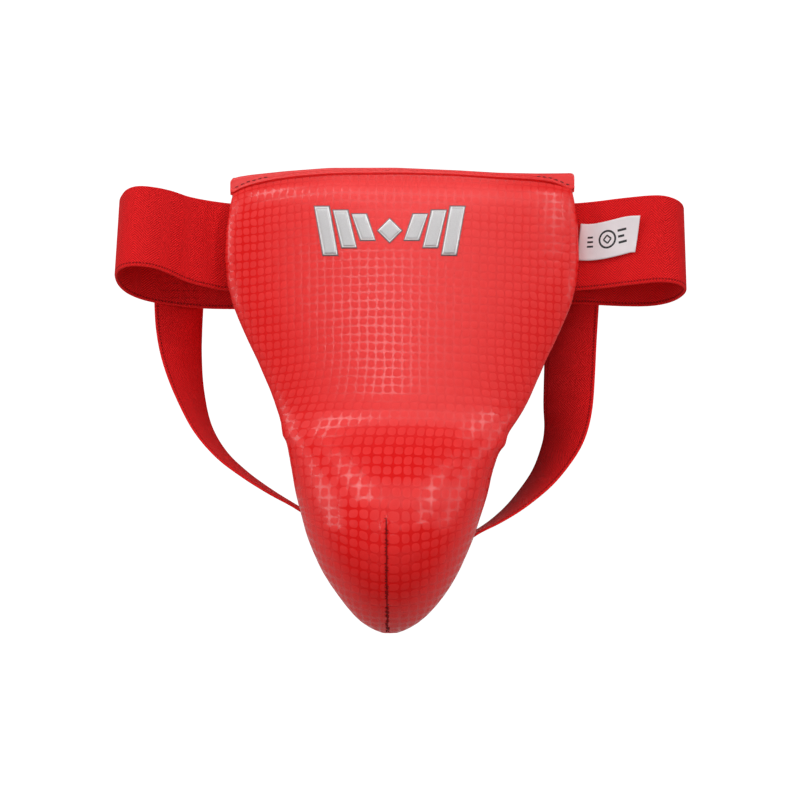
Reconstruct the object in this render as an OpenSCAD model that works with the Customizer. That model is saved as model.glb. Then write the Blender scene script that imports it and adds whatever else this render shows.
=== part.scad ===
// Groin protector: a padded abdomen panel that runs down into a hard, padded cup,
// worn on an elastic waistband with two elastic leg straps.
// Millimetres. +X is to the right as seen from the front, the front faces -Y, +Z is up.
// The origin is the waist mount: the middle of the waistband at the plane where it is sewn on.

/* [Cover] */
// Thickness of the embossed cover sheet
cover_t = 1.0; // [0.8:0.1:1.2]
// Thickness of the soft foam between cover and hard cup
foam_t = 5.6; // [4:0.1:6]
// Wall of the hard cup
cup_wall = 2.6; // [2:0.1:3]
// Thickness of the lining inside the cup
cup_lining_t = 1.0; // [0.8:0.1:1.2]
// Thickness of the lining behind the abdomen panel
lining_t = 1.2; // [0.8:0.1:1.3]
// Gap kept between neighbouring layers
ply_gap = 0.4; // [0.35:0.05:0.45]

/* [Shape] */
// Scale of the dome of the cup
cup_depth_k = 1.0; // [0.9:0.01:1.05]
// Scale of the crown of the abdomen panel
panel_depth_k = 1.0; // [0.85:0.01:1.1]

/* [Elastic] */
// Width of the waistband
band_w = 50; // [48:1:52]
// Width of a leg strap
strap_w = 30; // [28:1:30]
// Thickness of the waistband elastic
band_t = 1.6; // [1.2:0.1:1.7]
// Thickness of the leg strap elastic
strap_t = 1.3; // [1:0.1:1.4]

/* [Emblem] */
// Width over the three silver bars on the chest of the panel
emblem_w = 84; // [76:1:86]
// Height of the outer bars
emblem_h = 27; // [24:1:28]

/* [Hidden] */

z_top = 43;
z_tip = -216;
z_cup = -98;     // the hard cup starts here
back_y = -1.0;   // back plane of the cover's turned-in edge

// half width of the outline and sideways lean of the centre line at a height
width_at = [[46, 95.5], [34, 97.5], [15, 99.5], [-5, 100.2], [-19, 99], [-31, 96],
            [-41, 92], [-50, 88], [-63, 81.7], [-78, 75.2], [-91, 69.8], [-100, 65.3],
            [-106, 62], [-117, 58.6], [-128, 55.2], [-142, 52.2], [-160, 47.5],
            [-169, 44], [-181, 38.4], [-187, 34.7], [-196, 28.4], [-203, 23],
            [-210, 16.4], [-214, 10], [-216, 5.5], [-217, 3]];
lean_at = [[46, 3.6], [-85, 3.2], [-100, 1.4], [-108, -0.8], [-142, -2.8], [-217, -3.5]];
// how far the middle stands forward of the back plane, and how far the rounded edge does
crown_at = [[43, 7], [41.5, 10.5], [39, 13.5], [35, 16.2], [28, 18.6], [15, 20.5], [0, 22], [-30, 23],
            [-60, 23.5], [-82, 24], [-92, 25.5], [-100, 29], [-108, 35], [-118, 43.5], [-130, 52.5],
            [-142, 58.5], [-155, 61.5], [-168, 60.5], [-180, 56.5], [-190, 51], [-198, 45],
            [-205, 38], [-210, 31.5], [-214, 24.5], [-217, 16]];
edge_at = [[46, 5], [38, 7.5], [20, 9], [-60, 9], [-95, 10], [-115, 14], [-140, 19],
           [-170, 21], [-190, 20], [-205, 18.5], [-214, 16], [-217, 14]];
power_at = [[46, 3.2], [-60, 2.6], [-95, 2.5], [-120, 2.3], [-217, 2.2]];

function smooth(t) = t * t * (3 - 2 * t);
function clamp01(t) = min(1, max(0, t));
function look(tab, z) = z >= tab[0][0] ? tab[0][1]
    : z <= tab[len(tab) - 1][0] ? tab[len(tab) - 1][1] : lookup(z, tab);
function half_w(z) = look(width_at, z);
function mid_x(z) = look(lean_at, z);
function in_cup(z) = smooth(clamp01((-90 - z) / 30));
// depth of the outer surface in front of the back plane; u runs from -1 to 1 across
function crown(z) = (in_cup(z) * cup_depth_k + (1 - in_cup(z)) * panel_depth_k) * look(crown_at, z);
function depth(u, z) = let (e = look(edge_at, z), p = look(power_at, z),
        ridge = 2.2 * (1 - in_cup(z)) * clamp01((40 - z) / 40))
    e + (crown(z) - ridge - e) * pow(max(0, 1 - pow(abs(u), p)), 0.5)
      + ridge * exp(-pow(u / 0.42, 2));
// the top edge drops towards the corners, more on the left
drop_at = [[-1, 11], [-0.95, 8], [-0.8, 4.5], [-0.65, 2.2], [-0.4, 0.3], [0, 0],
           [0.3, 0.8], [0.6, 2.8], [0.8, 4], [0.9, 5.4], [1, 8]];
function corner_drop(u, z) = lookup(u, drop_at) * clamp01(z / z_top);

// point of a layer that lies "a" inside the outer surface
function skin(u, z, a) = [mid_x(z) + u * half_w(z) - a * u,
        -depth(u, z) + a,
        z - corner_drop(u, z) - a * (1 - 2 * (z_top - z) / (z_top - z_tip))];
function skin_back(u, z, a, y) = let (p = skin(u, z, a)) [p[0], y, p[2]];

function across(n) = [for (i = [0:n]) sin(-90 + 180 * i / n)];
function spaced(z0, z1, n, k) = [for (j = [0:n]) z0 + (z1 - z0) * (1 - pow(1 - j / n, k))];
// grid of a layer with its edge walls carried back to the plane y
function layer(us, zs, a, y) = concat(
    [[for (u = concat([us[0]], us, [us[len(us) - 1]])) skin_back(u, zs[0], a, y)]],
    [for (z = zs) concat([skin_back(us[0], z, a, y)],
                         [for (u = us) skin(u, z, a)],
                         [skin_back(us[len(us) - 1], z, a, y)])],
    [[for (u = concat([us[0]], us, [us[len(us) - 1]])) skin_back(u, zs[len(zs) - 1], a, y)]]);

// closed solid between two grids of the same size: a is in front (-Y), b behind it
module slab(a, b) {
    n = len(a); m = len(a[0]);
    pts = [for (g = [a, b], r = g, p = r) p];
    f = n * m;
    faces = concat(
        [for (j = [0:n - 2], i = [0:m - 2]) each [
            [j * m + i, j * m + i + 1, (j + 1) * m + i + 1],
            [j * m + i, (j + 1) * m + i + 1, (j + 1) * m + i]]],
        [for (j = [0:n - 2], i = [0:m - 2]) each [
            [f + j * m + i, f + (j + 1) * m + i + 1, f + j * m + i + 1],
            [f + j * m + i, f + (j + 1) * m + i, f + (j + 1) * m + i + 1]]],
        [for (i = [0:m - 2]) each [[i, f + i, f + i + 1], [i, f + i + 1, i + 1],
            [(n - 1) * m + i, (n - 1) * m + i + 1, f + (n - 1) * m + i + 1],
            [(n - 1) * m + i, f + (n - 1) * m + i + 1, f + (n - 1) * m + i]]],
        [for (j = [0:n - 2]) each [[j * m, (j + 1) * m, f + (j + 1) * m], [j * m, f + (j + 1) * m, f + j * m],
            [j * m + m - 1, f + (j + 1) * m + m - 1, (j + 1) * m + m - 1],
            [j * m + m - 1, f + j * m + m - 1, f + (j + 1) * m + m - 1]]]);
    polyhedron(points = pts, faces = faces, convexity = 8);
}

US = across(22);
a1 = cover_t + ply_gap;          // front of the foam
a2 = a1 + foam_t;                // back of the foam
a3 = a2 + ply_gap;               // front of the hard cup
a4 = a3 + cup_wall;
a5 = a4 + ply_gap;               // front of the cup's lining
a6 = a5 + cup_lining_t;

module outer_cover() {
    zs = concat([z_top, z_top - 1.5, z_top - 4, z_top - 8, z_top - 12], spaced(z_top - 17, z_tip, 32, 1.15));
    color("crimson") slab(layer(US, zs, 0, back_y), layer(US, zs, cover_t, back_y));
}

// foam sheet that fills the abdomen panel: flat at the back
module abdomen_foam() {
    zs = concat([z_top - 3, z_top - 6, z_top - 9, z_top - 13], spaced(z_top - 17, z_cup + 0.6, 16, 1));
    front = [for (z = zs) [for (u = US) skin(u, z, a1 + 0.4)]];
    back = [for (z = zs) [for (u = US) skin_back(u, z, a1 + 0.4, back_y - 0.8)]];
    color("gray") slab(front, back);
}

module cup_foam() {
    zs = spaced(z_cup, z_tip, 18, 1.3);
    zi = spaced(z_cup - foam_t * 0.7, z_tip, 18, 1.3);
    color("gray") slab(layer(US, zs, a1, back_y - 0.8), layer(US, zi, a2, back_y - 0.8));
}

module hard_cup() {
    zs = spaced(z_cup - foam_t * 0.7 - 1.2, z_tip, 18, 1.3);
    zi = spaced(z_cup - foam_t * 0.7 - 1.2 - cup_wall, z_tip, 18, 1.3);
    color("gainsboro") slab(layer(US, zs, a3, back_y - 0.8), layer(US, zi, a4, back_y - 0.8));
}

module cup_lining() {
    z0 = z_cup - foam_t * 0.7 - 1.2 - cup_wall - 0.9;
    zs = spaced(z0, z_tip, 18, 1.3);
    zi = spaced(z0 - cup_lining_t, z_tip, 18, 1.3);
    color("firebrick") slab(layer(US, zs, a5, back_y - 0.8), layer(US, zi, a6, back_y - 0.8));
}

// flat facing behind the abdomen panel, down to the upper rim of the cup
module back_lining() {
    zs = spaced(z_top - 1, z_cup - 1, 14, 1);
    front = [for (z = zs) [for (u = US) skin_back(u * 0.985, z, 1.5, back_y + ply_gap)]];
    back = [for (z = zs) [for (u = US) skin_back(u * 0.985, z, 1.5, back_y + ply_gap + lining_t)]];
    color("firebrick") slab(front, back);
}

// soft roll sewn round the open back of the cup, a rounded trapezium that narrows downwards
rim_top = z_cup - 12;
rim_low = -170;
rim_zs = spaced(rim_top, rim_low, 12, 1);
function rim_half(z) = half_w(z) - 8;
rim_path = concat(
    [for (z = rim_zs) [mid_x(z) - rim_half(z), 0, z]],
    [for (k = [1:7]) let (w = rim_half(rim_low)) [mid_x(rim_low) - w * cos(180 * k / 8), 0, rim_low - 8 * sin(180 * k / 8)]],
    [for (j = [len(rim_zs) - 1:-1:0]) let (z = rim_zs[j]) [mid_x(z) + rim_half(z), 0, z]],
    [for (k = [1:9]) let (w = rim_half(rim_top)) [mid_x(rim_top) + w * cos(180 * k / 10), 0, rim_top + 6 * sin(180 * k / 10)]]);

// ring with an oval section swept along a closed path in the XZ plane
module closed_roll(path, rx, ry, sides) {
    n = len(path);
    rings = [for (i = [0:n - 1]) let (a = path[(i + n - 1) % n], b = path[(i + 1) % n],
            t = (b - a) / norm(b - a), w = [-t[2], 0, t[0]])
        [for (k = [0:sides - 1]) path[i] + w * rx * cos(360 * k / sides) + [0, 1, 0] * ry * sin(360 * k / sides)]];
    polyhedron(points = [for (r = rings, p = r) p],
        faces = [for (i = [0:n - 1], k = [0:sides - 1]) let (i2 = (i + 1) % n, k2 = (k + 1) % sides) each [
            [i * sides + k, i * sides + k2, i2 * sides + k2], [i * sides + k, i2 * sides + k2, i2 * sides + k]]],
        convexity = 8);
}
module cup_rim_pad() {
    color("firebrick") translate([0, 1.6, 0]) closed_roll(rim_path, 5.5, 2.2, 10);
}

// Points along the elastic: x, y, z of the middle and an angle in degrees
band_left = [[-84, 2.2, 1.5, 0], [-90, 2.2, 1.6, 0], [-96.5, 2.1, 1.9, 0], [-107, -1, 3, 6], [-118, -7.5, 5, 14],
             [-127, -16, 8.5, 22], [-136, -22, 10.5, 26], [-145, -24, 11, 25], [-152, -20.5, 10.5, 20],
             [-156.5, -12.5, 8, 12], [-158.5, -4, 5.5, 5], [-157, 6, 2, 2], [-151, 12, -2.5, 5],
             [-139, 16, -5.5, 8], [-132.3, 17.7, -6.45, 8]];
band_rear = [[-132, 17.8, -6.5, 8], [-127, 19, -7, 8], [-111, 22, -8, 6], [-95, 23, -8, 4],
             [-60, 23, -8, 0], [0, 22.5, -7.5, 0], [60, 23, -6.5, 0], [105, 23.5, -5.5, 0],
             [118, 24, -6, 0], [132, 23.8, -6.3, 0]];
band_right = [[132.3, 23.78, -6.3, 0], [148, 22.5, -6.5, 2], [159, 17, -5, 3], [164.5, 7, -0.7, 4],
              [165, -2, 2, 4], [161, -9.5, 4.4, 5], [153.5, -13, 5.5, 5], [144.5, -12, 5.5, 4],
              [127, -6, 4, 2], [116, -2, 2.8, 0], [104.5, 2.1, 2, 0], [98, 2.2, 1.8, 0], [91, 2.2, 1.6, 0]];
leg_left = [[-126, 20.95, -10, 12], [-126, 18.7, -28, 12], [-125.7, 18, -44, 16], [-123.6, 18.5, -61, 38],
            [-119.6, 19, -82, 58], [-112, 18.5, -102, 68], [-101.2, 18, -116.2, 78],
            [-88.6, 18, -127.8, 84], [-73.6, 18.3, -138, 88], [-58, 19.3, -147, 86],
            [-47, 19.8, -154.5, 76], [-38, 17.8, -162, 56], [-30, 12.8, -169, 30], [-23.5, 7.3, -175, 8],
            [-18, 5.2, -180, 0], [-12, 5, -184.5, 0]];
leg_right = [[104, 25.8, -9, 0], [103.2, 25.7, -28, 0], [102, 25, -50, 4], [101, 24, -67, 5],
             [99.4, 22.5, -92, 24], [93.6, 20.5, -115, 54], [84.6, 19.5, -130.5, 66],
             [72.2, 19, -143.6, 74], [59.7, 19.5, -154, 82], [46.7, 19.8, -162, 78],
             [37, 18.2, -168, 58], [28.5, 13.8, -173, 32], [21.5, 7.8, -177.5, 8], [15, 5.2, -182, 0], [8.5, 5, -186.5, 0]];

function cr(a, b, c, d, t) = 0.5 * (2 * b + (c - a) * t + (2 * a - 5 * b + 4 * c - d) * t * t
    + (3 * b - a - 3 * c + d) * t * t * t);
function curve(p, k) = let (n = len(p)) concat(
    [for (i = [0:n - 2], j = [0:k - 1]) cr(p[max(0, i - 1)], p[i], p[i + 1], p[min(n - 1, i + 2)], j / k)],
    [p[n - 1]]);
function xyz(q) = [q[0], q[1], q[2]];
function unit(v) = v / norm(v);
function along(c, i) = unit(xyz(c[min(len(c) - 1, i + 1)]) - xyz(c[max(0, i - 1)]));
// width direction of the waistband: upright, leaning by the angle
function upright(c, i) = let (t = along(c, i), w = [0, sin(c[i][3]), cos(c[i][3])]) unit(w - (w * t) * t);
// width direction of a leg strap: facing the front, turned edge on by the angle
function turning(c, i, s) = let (t = along(c, i), a = unit(cross(t, [0, 1, 0])),
        b = unit([0, 1, 0] - t[1] * t)) cos(c[i][3]) * a + s * sin(c[i][3]) * b;
function ring(p, w, t, wide, thick) = let (n = unit(cross(t, w)))
    [p - w * wide / 2 - n * thick / 2, p + w * wide / 2 - n * thick / 2,
     p + w * wide / 2 + n * thick / 2, p - w * wide / 2 + n * thick / 2];
module strip(rings) {
    n = len(rings);
    polyhedron(points = [for (r = rings, p = r) p],
        faces = concat([[0, 1, 2], [0, 2, 3]],
            [for (i = [0:n - 2], k = [0:3]) each [
                [i * 4 + k, (i + 1) * 4 + (k + 1) % 4, i * 4 + (k + 1) % 4],
                [i * 4 + k, (i + 1) * 4 + k, (i + 1) * 4 + (k + 1) % 4]]],
            [[n * 4 - 4, n * 4 - 2, n * 4 - 3], [n * 4 - 4, n * 4 - 1, n * 4 - 2]]),
        convexity = 8);
}
module band(points, wide) {
    c = curve(points, 5);
    strip([for (i = [0:len(c) - 1]) ring(xyz(c[i]), upright(c, i), along(c, i), wide, band_t)]);
}
module leg(points, s) {
    c = curve(points, 4);
    strip([for (i = [0:len(c) - 1]) ring(xyz(c[i]), turning(c, i, s), along(c, i), strap_w, strap_t)]);
}
module waistband_left() { color("red") band(band_left, band_w); }
module waistband_right() { color("red") band(band_right, band_w); }
module waistband_rear() { color("red") band(band_rear, band_w); }
module leg_strap_left() { color("red") leg(leg_left, 1); }
module leg_strap_right() { color("red") leg(leg_right, -1); }

// flat facing that closes the lower tail of the cup and carries the strap ends
module tail_lining() {
    zs = spaced(rim_low - 16.5, z_tip + 2, 8, 1);
    front = [for (z = zs) [for (u = US) skin_back(u * 0.985, z, 1.5, back_y + ply_gap)]];
    back = [for (z = zs) [for (u = US) skin_back(u * 0.985, z, 1.5, back_y + ply_gap + 4.4)]];
    color("firebrick") slab(front, back);
}

// binding strip that stands along the top edge: x and height of its upper edge
bind_at = [[-94, 39], [-91.5, 41.2], [-83, 42.6], [-62, 44.8], [-38, 46.6], [0, 46.7],
           [35, 45.2], [59, 43.8], [80, 43.4], [93, 43.5], [99.3, 43.6]];
bind_t = 3.4;
bind_y = back_y - bind_t / 2;
function bind_low(x) = z_top + 0.35 - lookup(max(-1, min(1, (x - 3.6) / 95.8)), drop_at);
function bind_high(x) = lookup(x, bind_at);
bind_xs = concat([-93.6, -92.8], [for (x = [-91:4:97]) x], [99.3]);
module top_binding() {
    color("crimson") strip([for (x = bind_xs) let (l = bind_low(x), h = bind_high(x))
        [[x, bind_y - bind_t / 2, l], [x, bind_y - bind_t / 2, h],
         [x, bind_y + bind_t / 2, h], [x, bind_y + bind_t / 2, l]]]);
}

// one stitch: a short bar of thread, given its length, turned by angles
module stitch(p, a, l, w = 0.45) { translate(p) rotate(a) cube([l, 0.3, w], center = true); }

module binding_thread() {
    color("tomato") for (x = [-88:4.4:96])
        stitch([x, bind_y - bind_t / 2 - 0.25, bind_low(x) + 1.1],
               [0, -atan((bind_low(x + 1) - bind_low(x - 1)) / 2), 0], 2.8);
}

// seam that closes the dart at the front of the cup, stitched across
module dart_thread() {
    color("tomato") for (z = [-152:-4.2:-206]) {
        slope = atan((depth(0, z + 1) - depth(0, z - 1)) / 2);
        n = [0, -cos(slope), -sin(slope)];
        stitch(skin(0, z, 0) + n * 0.5, [slope, 0, 0], 2.6, 0.5);
    }
}

module waist_stitching() {
    color("tomato") for (s = [-1, 1], k = [0, 1], j = [-5:5])
        stitch([s < 0 ? -88 - 7 * k : 93.5 + 7 * k, 2.2 + band_t / 2 + 0.45, 1.6 + 4.2 * j], [0, 90, 0], 2.8, 0.6);
}

// two rows through the top of each leg strap and the rear span of the waistband
module strap_top_stitching() {
    color("tomato") for (k = [0, 1], j = [-3:3]) {
        stitch([-126 + 3.8 * j, 22.25 - 0.125 * (5 + 8 * k) + 0.81 * j, -15 - 8 * k], [0, 0, 12], 2.6, 0.6);
        stitch([103.6 + 3.9 * j, 27.0, -14 - 8 * k], [0, 0, 0], 2.6, 0.6);
    }
}

// rows that hold the lower ends of the leg straps on the tail
module strap_end_stitching() {
    color("tomato") for (k = [0, 1], j = [-2:2]) {
        stitch([-14.5 - 5.2 * k + 2.7 * j, 6.9 + 1.0 * k, -183 + 3.6 * k + 4.6 * j], [0, -57, 0], 2.8, 0.6);
        stitch([11 + 5.2 * k + 2.7 * j, 6.3 + 1.0 * k, -185 + 3.6 * k - 4.6 * j], [0, 57, 0], 2.8, 0.6);
    }
}

// raised patch that follows the panel: four corners in x and z, over heights h0 to h1
function on_panel(q, h) = [q[0], -depth((q[0] - mid_x(q[1])) / half_w(q[1]), q[1]) - h, q[1]];
module patch(a, b, c, d, h0, h1, n = 3) {
    g = function (h) [for (j = [0:n]) [for (i = [0:n])
        let (p = a + (b - a) * i / n, q = d + (c - d) * i / n) on_panel(p + (q - p) * j / n, h)]];
    slab(g(h1), g(h0));
}
// emblem: a middle lozenge between two fans of three slanted bars, shorter towards the middle
ex = -3.5;
ez = 9.5;
function bar(s, k, m) = let (x0 = ex + s * (emblem_w / 2 - 10.5 * k), w = 7.6,
        top = ez + emblem_h / 2 - 2.2 * k, low = ez - emblem_h / 2 + 4.2 * k)
    [[x0 + s * m, top + m], [x0 - s * (w + m), top + m],
     [x0 - s * (w + 5 + m), low - m], [x0 - s * (5 - m), low - m]];
module fan(m, h0, h1) {
    for (s = [-1, 1], k = [0:2]) let (q = bar(s, k, m))
        if (s > 0) patch(q[1], q[0], q[3], q[2], h0, h1);
        else patch(q[0], q[1], q[2], q[3], h0, h1);
    r = 6.4 + m;
    patch([ex - r, ez], [ex, ez + r], [ex + r, ez], [ex, ez - r], h0, h1, 4);
}
module emblem_outline() { color("dimgray") fan(0.7, 0.35, 0.6); }
module emblem_bars() { color("silver") fan(0, 0.75, 1.05); }

// satin label sewn into the right seam, lying over the waistband
label_pts = [[104.6, 0.1, 5.2, 0], [110, -2, 5.8, 2], [118, -5, 6.8, 0], [128, -9, 8, -2], [137, -12.2, 8.7, 0]];
module label_strip(c, dy, w, t, dz) {
    strip([for (i = [0:len(c) - 1]) ring(xyz(c[i]) + [0, dy, dz], upright(c, i), along(c, i), w, t)]);
}
module size_label() { color("white") label_strip(curve(label_pts, 4), 0, 20.8, 0.7, 0); }
module label_marks() {
    c = curve(label_pts, 4);
    color("black") for (r = [[3, 5, 4, 3.5], [3, 5, 2.6, -3.5], [8, 14, 3, 4.2], [8, 14, 3, -0.6], [8, 12, 1.6, -5]])
        label_strip([for (i = [r[0]:r[1]]) c[i]], -0.75, r[2], 0.2, r[3]);
}

outer_cover();
abdomen_foam();
cup_foam();
hard_cup();
cup_rim_pad();
cup_lining();
back_lining();
tail_lining();
top_binding();
binding_thread();
dart_thread();
waistband_left();
waistband_right();
waistband_rear();
leg_strap_left();
leg_strap_right();
waist_stitching();
strap_top_stitching();
strap_end_stitching();
emblem_outline();
emblem_bars();
size_label();
label_marks();
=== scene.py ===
import math

import bmesh
import bpy
import numpy as np
from mathutils import Matrix, Quaternion, Vector


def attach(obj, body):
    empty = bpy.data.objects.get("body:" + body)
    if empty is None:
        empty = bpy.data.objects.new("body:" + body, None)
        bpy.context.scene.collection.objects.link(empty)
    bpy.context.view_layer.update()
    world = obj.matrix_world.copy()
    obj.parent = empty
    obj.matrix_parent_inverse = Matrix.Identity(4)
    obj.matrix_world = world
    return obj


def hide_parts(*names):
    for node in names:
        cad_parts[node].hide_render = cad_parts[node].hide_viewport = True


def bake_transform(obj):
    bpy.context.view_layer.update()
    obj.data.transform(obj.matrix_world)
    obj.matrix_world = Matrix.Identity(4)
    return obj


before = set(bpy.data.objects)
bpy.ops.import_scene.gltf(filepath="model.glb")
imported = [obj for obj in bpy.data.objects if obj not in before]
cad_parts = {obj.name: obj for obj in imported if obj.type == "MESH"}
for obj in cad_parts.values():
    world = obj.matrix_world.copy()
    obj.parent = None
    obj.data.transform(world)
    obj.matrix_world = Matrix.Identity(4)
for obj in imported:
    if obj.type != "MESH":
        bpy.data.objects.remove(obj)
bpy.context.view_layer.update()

MM = 0.001
scene = bpy.context.scene
scene.view_settings.view_transform = "Standard"

# ---------------------------------------------------------------- camera
CAM_D = 1300.0
cam_data = bpy.data.cameras.new("camera")
cam_data.lens = 102.63
cam_data.sensor_width = 36
cam_data.clip_end = 50
cam = bpy.data.objects.new("camera", cam_data)
cam.location = (0.00228, -CAM_D * MM, -0.0855)
cam.rotation_euler = (math.radians(90), 0, 0)
scene.collection.objects.link(cam)
scene.camera = cam


# ---------------------------------------------------------------- helpers
def mesh_obj(name, verts, faces, uv=None, attrs=None, smooth=True, merge=None):
    """verts in millimetres; uv and attrs are per vertex"""
    verts = np.asarray(verts, float) * MM
    me = bpy.data.meshes.new(name)
    me.from_pydata(verts.tolist(), [], [tuple(int(i) for i in f) for f in faces])
    me.validate()
    ob = bpy.data.objects.new(name, me)
    scene.collection.objects.link(ob)
    if attrs:
        for key, val in attrs.items():
            val = np.asarray(val, np.float32)
            if val.ndim == 1:
                a = me.attributes.new(key, "FLOAT", "POINT")
                a.data.foreach_set("value", val)
            else:
                a = me.attributes.new(key, "FLOAT_VECTOR", "POINT")
                a.data.foreach_set("vector", val.ravel())
    if uv is not None:
        layer = me.uv_layers.new(name="UVMap")
        idx = np.zeros(len(me.loops), int)
        me.loops.foreach_get("vertex_index", idx)
        layer.data.foreach_set("uv", np.asarray(uv, np.float32)[idx].ravel())
    if merge:
        bm = bmesh.new()
        bm.from_mesh(me)
        bmesh.ops.remove_doubles(bm, verts=bm.verts, dist=merge)
        bmesh.ops.dissolve_degenerate(bm, edges=bm.edges, dist=merge * 0.5)
        loose = [v for v in bm.verts if not v.link_faces]
        bmesh.ops.delete(bm, geom=loose, context="VERTS")
        bm.to_mesh(me)
        bm.free()
    if smooth:
        me.polygons.foreach_set("use_smooth", np.ones(len(me.polygons), bool))
    me.update()
    return ob


def outward(ob):
    bm = bmesh.new()
    bm.from_mesh(ob.data)
    bmesh.ops.recalc_face_normals(bm, faces=bm.faces)
    bm.to_mesh(ob.data)
    bm.free()
    return ob


def grid_faces(n, m, off=0, flip=False):
    f = []
    for j in range(n - 1):
        for i in range(m - 1):
            a = off + j * m + i
            q = (a, a + 1, a + m + 1, a + m)
            f.append(q[::-1] if flip else q)
    return f


def tube_faces(n, m, closed=False, off=0):
    f = []
    for i in range(n if closed else n - 1):
        i2 = (i + 1) % n
        for k in range(m):
            k2 = (k + 1) % m
            f.append((off + i * m + k, off + i * m + k2, off + i2 * m + k2, off + i2 * m + k))
    return f


def slab(A, B):
    """closed faces between grids A (front) and B (back), both (n, m, 3)"""
    n, m = A.shape[:2]
    v = np.concatenate([A.reshape(-1, 3), B.reshape(-1, 3)])
    o = n * m
    f = grid_faces(n, m) + grid_faces(n, m, o, True)
    for i in range(m - 1):
        f.append((i, o + i, o + i + 1, i + 1))
        a = (n - 1) * m + i
        f.append((a, a + 1, o + a + 1, o + a))
    for j in range(n - 1):
        a = j * m
        f.append((a, a + m, o + a + m, o + a))
        b = j * m + m - 1
        f.append((b, o + b, o + b + m, b + m))
    return v, f


# ---------------------------------------------------------------- shape of the guard, as the CAD has it
Z_TOP, Z_TIP, Z_CUP, BACK_Y = 43.0, -216.0, -98.0, -1.0
ZS = np.arange(-217.0, 46.01, 0.1)


def table(pairs, sigma, square=False):
    p = np.array(sorted(pairs), float)
    v = np.interp(ZS, p[:, 0], p[:, 1] ** 2 if square else p[:, 1])
    s = sigma / 0.1
    r = int(4 * s)
    k = np.exp(-0.5 * (np.arange(-r, r + 1) / s) ** 2)
    k /= k.sum()
    lo = 2 * v[0] - v[1 : r + 1][::-1]
    hi = 2 * v[-1] - v[-r - 1 : -1][::-1]
    v = np.convolve(np.concatenate([lo, v, hi]), k, "valid")
    return np.sqrt(np.maximum(v, 0.01)) if square else v


WIDTH = table([[46, 95.5], [34, 97.5], [15, 99.5], [-5, 100.2], [-19, 99], [-31, 96],
               [-41, 92], [-50, 88], [-63, 81.7], [-78, 75.2], [-91, 69.8], [-100, 65.3],
               [-106, 62], [-117, 58.6], [-128, 55.2], [-142, 52.2], [-160, 47.5],
               [-169, 44], [-181, 38.4], [-187, 34.7], [-196, 28.4], [-203, 23],
               [-210, 16.4], [-214, 10], [-216, 5.5], [-217, 3]], 2.0, True)
LEAN = table([[46, 3.6], [-85, 3.2], [-100, 1.4], [-108, -0.8], [-142, -2.8], [-217, -3.5]], 4)
CROWN = table([[46, 1.5], [43, 7], [41.5, 10.5], [39, 13.5], [35, 16.2], [28, 18.6], [15, 20.5], [0, 22],
               [-30, 23], [-60, 23.5], [-82, 24], [-92, 25.5], [-100, 29], [-108, 35], [-118, 43.5],
               [-130, 52.5], [-142, 58.5], [-155, 61.5], [-168, 60.5], [-180, 56.5], [-190, 51],
               [-198, 45], [-205, 38], [-210, 31.5], [-214, 24.5], [-217, 16]], 2.2, True)
EDGE = table([[46, 5], [38, 7.5], [20, 9], [-60, 9], [-95, 10], [-115, 14], [-140, 19],
              [-170, 21], [-190, 20], [-205, 18.5], [-214, 16], [-217, 14]], 3)
POWER = table([[46, 3.2], [-60, 2.6], [-95, 2.5], [-120, 2.3], [-217, 2.2]], 6)
DROP = np.array([[-1, 11], [-0.95, 8], [-0.8, 4.5], [-0.65, 2.2], [-0.4, 0.3], [0, 0],
                 [0.3, 0.8], [0.6, 2.8], [0.8, 4], [0.9, 5.4], [1, 8]], float)
us_ = np.linspace(-1, 1, 401)
dr_ = np.interp(us_, DROP[:, 0], DROP[:, 1])
kk_ = np.exp(-0.5 * (np.arange(-30, 31) / 9) ** 2)
kk_ /= kk_.sum()
dr_ = np.convolve(np.concatenate([2 * dr_[0] - dr_[1:31][::-1], dr_, 2 * dr_[-1] - dr_[-31:-1][::-1]]), kk_, "valid")


def at(tab, z):
    return np.interp(z, ZS, tab)


def smooth01(t):
    t = np.clip(t, 0, 1)
    return t * t * (3 - 2 * t)


def depth(u, z):
    e, c, p = at(EDGE, z), at(CROWN, z), at(POWER, z)
    ridge = 2.2 * (1 - smooth01((-90 - z) / 30)) * np.clip((40 - z) / 40, 0, 1)
    return e + (c - ridge - e) * np.sqrt(np.maximum(0, 1 - np.abs(u) ** p)) + ridge * np.exp(-((u / 0.42) ** 2))


def drop(u, z):
    return np.interp(u, us_, dr_) * np.clip(z / Z_TOP, 0, 1)


def shoulder(u, z):
    """the small bulges on the outline where the corners of the hard cup push the cover out"""
    right = 1.9 * np.exp(-(((z + 110.5) / np.where(z > -110.5, 5.0, 3.4)) ** 2)) * smooth01((u - 0.72) / 0.28)
    left = 1.5 * np.exp(-(((z + 105.5) / np.where(z > -105.5, 6.5, 2.8)) ** 2)) * smooth01((-u - 0.72) / 0.28)
    right = right + (1.3 * np.exp(-(((z + 197) / 15.0) ** 2)) + 1.0 * np.exp(-(((z + 138) / 13.0) ** 2))) * smooth01((u - 0.4) / 0.6)
    left = left + 0.9 * np.exp(-(((z + 130) / 12.0) ** 2)) * smooth01((-u - 0.4) / 0.6)
    return right - left


def skin(u, z, a=0.0):
    u, z = np.broadcast_arrays(np.asarray(u, float), np.asarray(z, float))
    k = 1 - 2 * (Z_TOP - z) / (Z_TOP - Z_TIP)
    return np.stack([at(LEAN, z) + u * at(WIDTH, z) - a * u + shoulder(u, z), -depth(u, z) + a,
                     z - drop(u, z) - a * k], -1)


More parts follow.
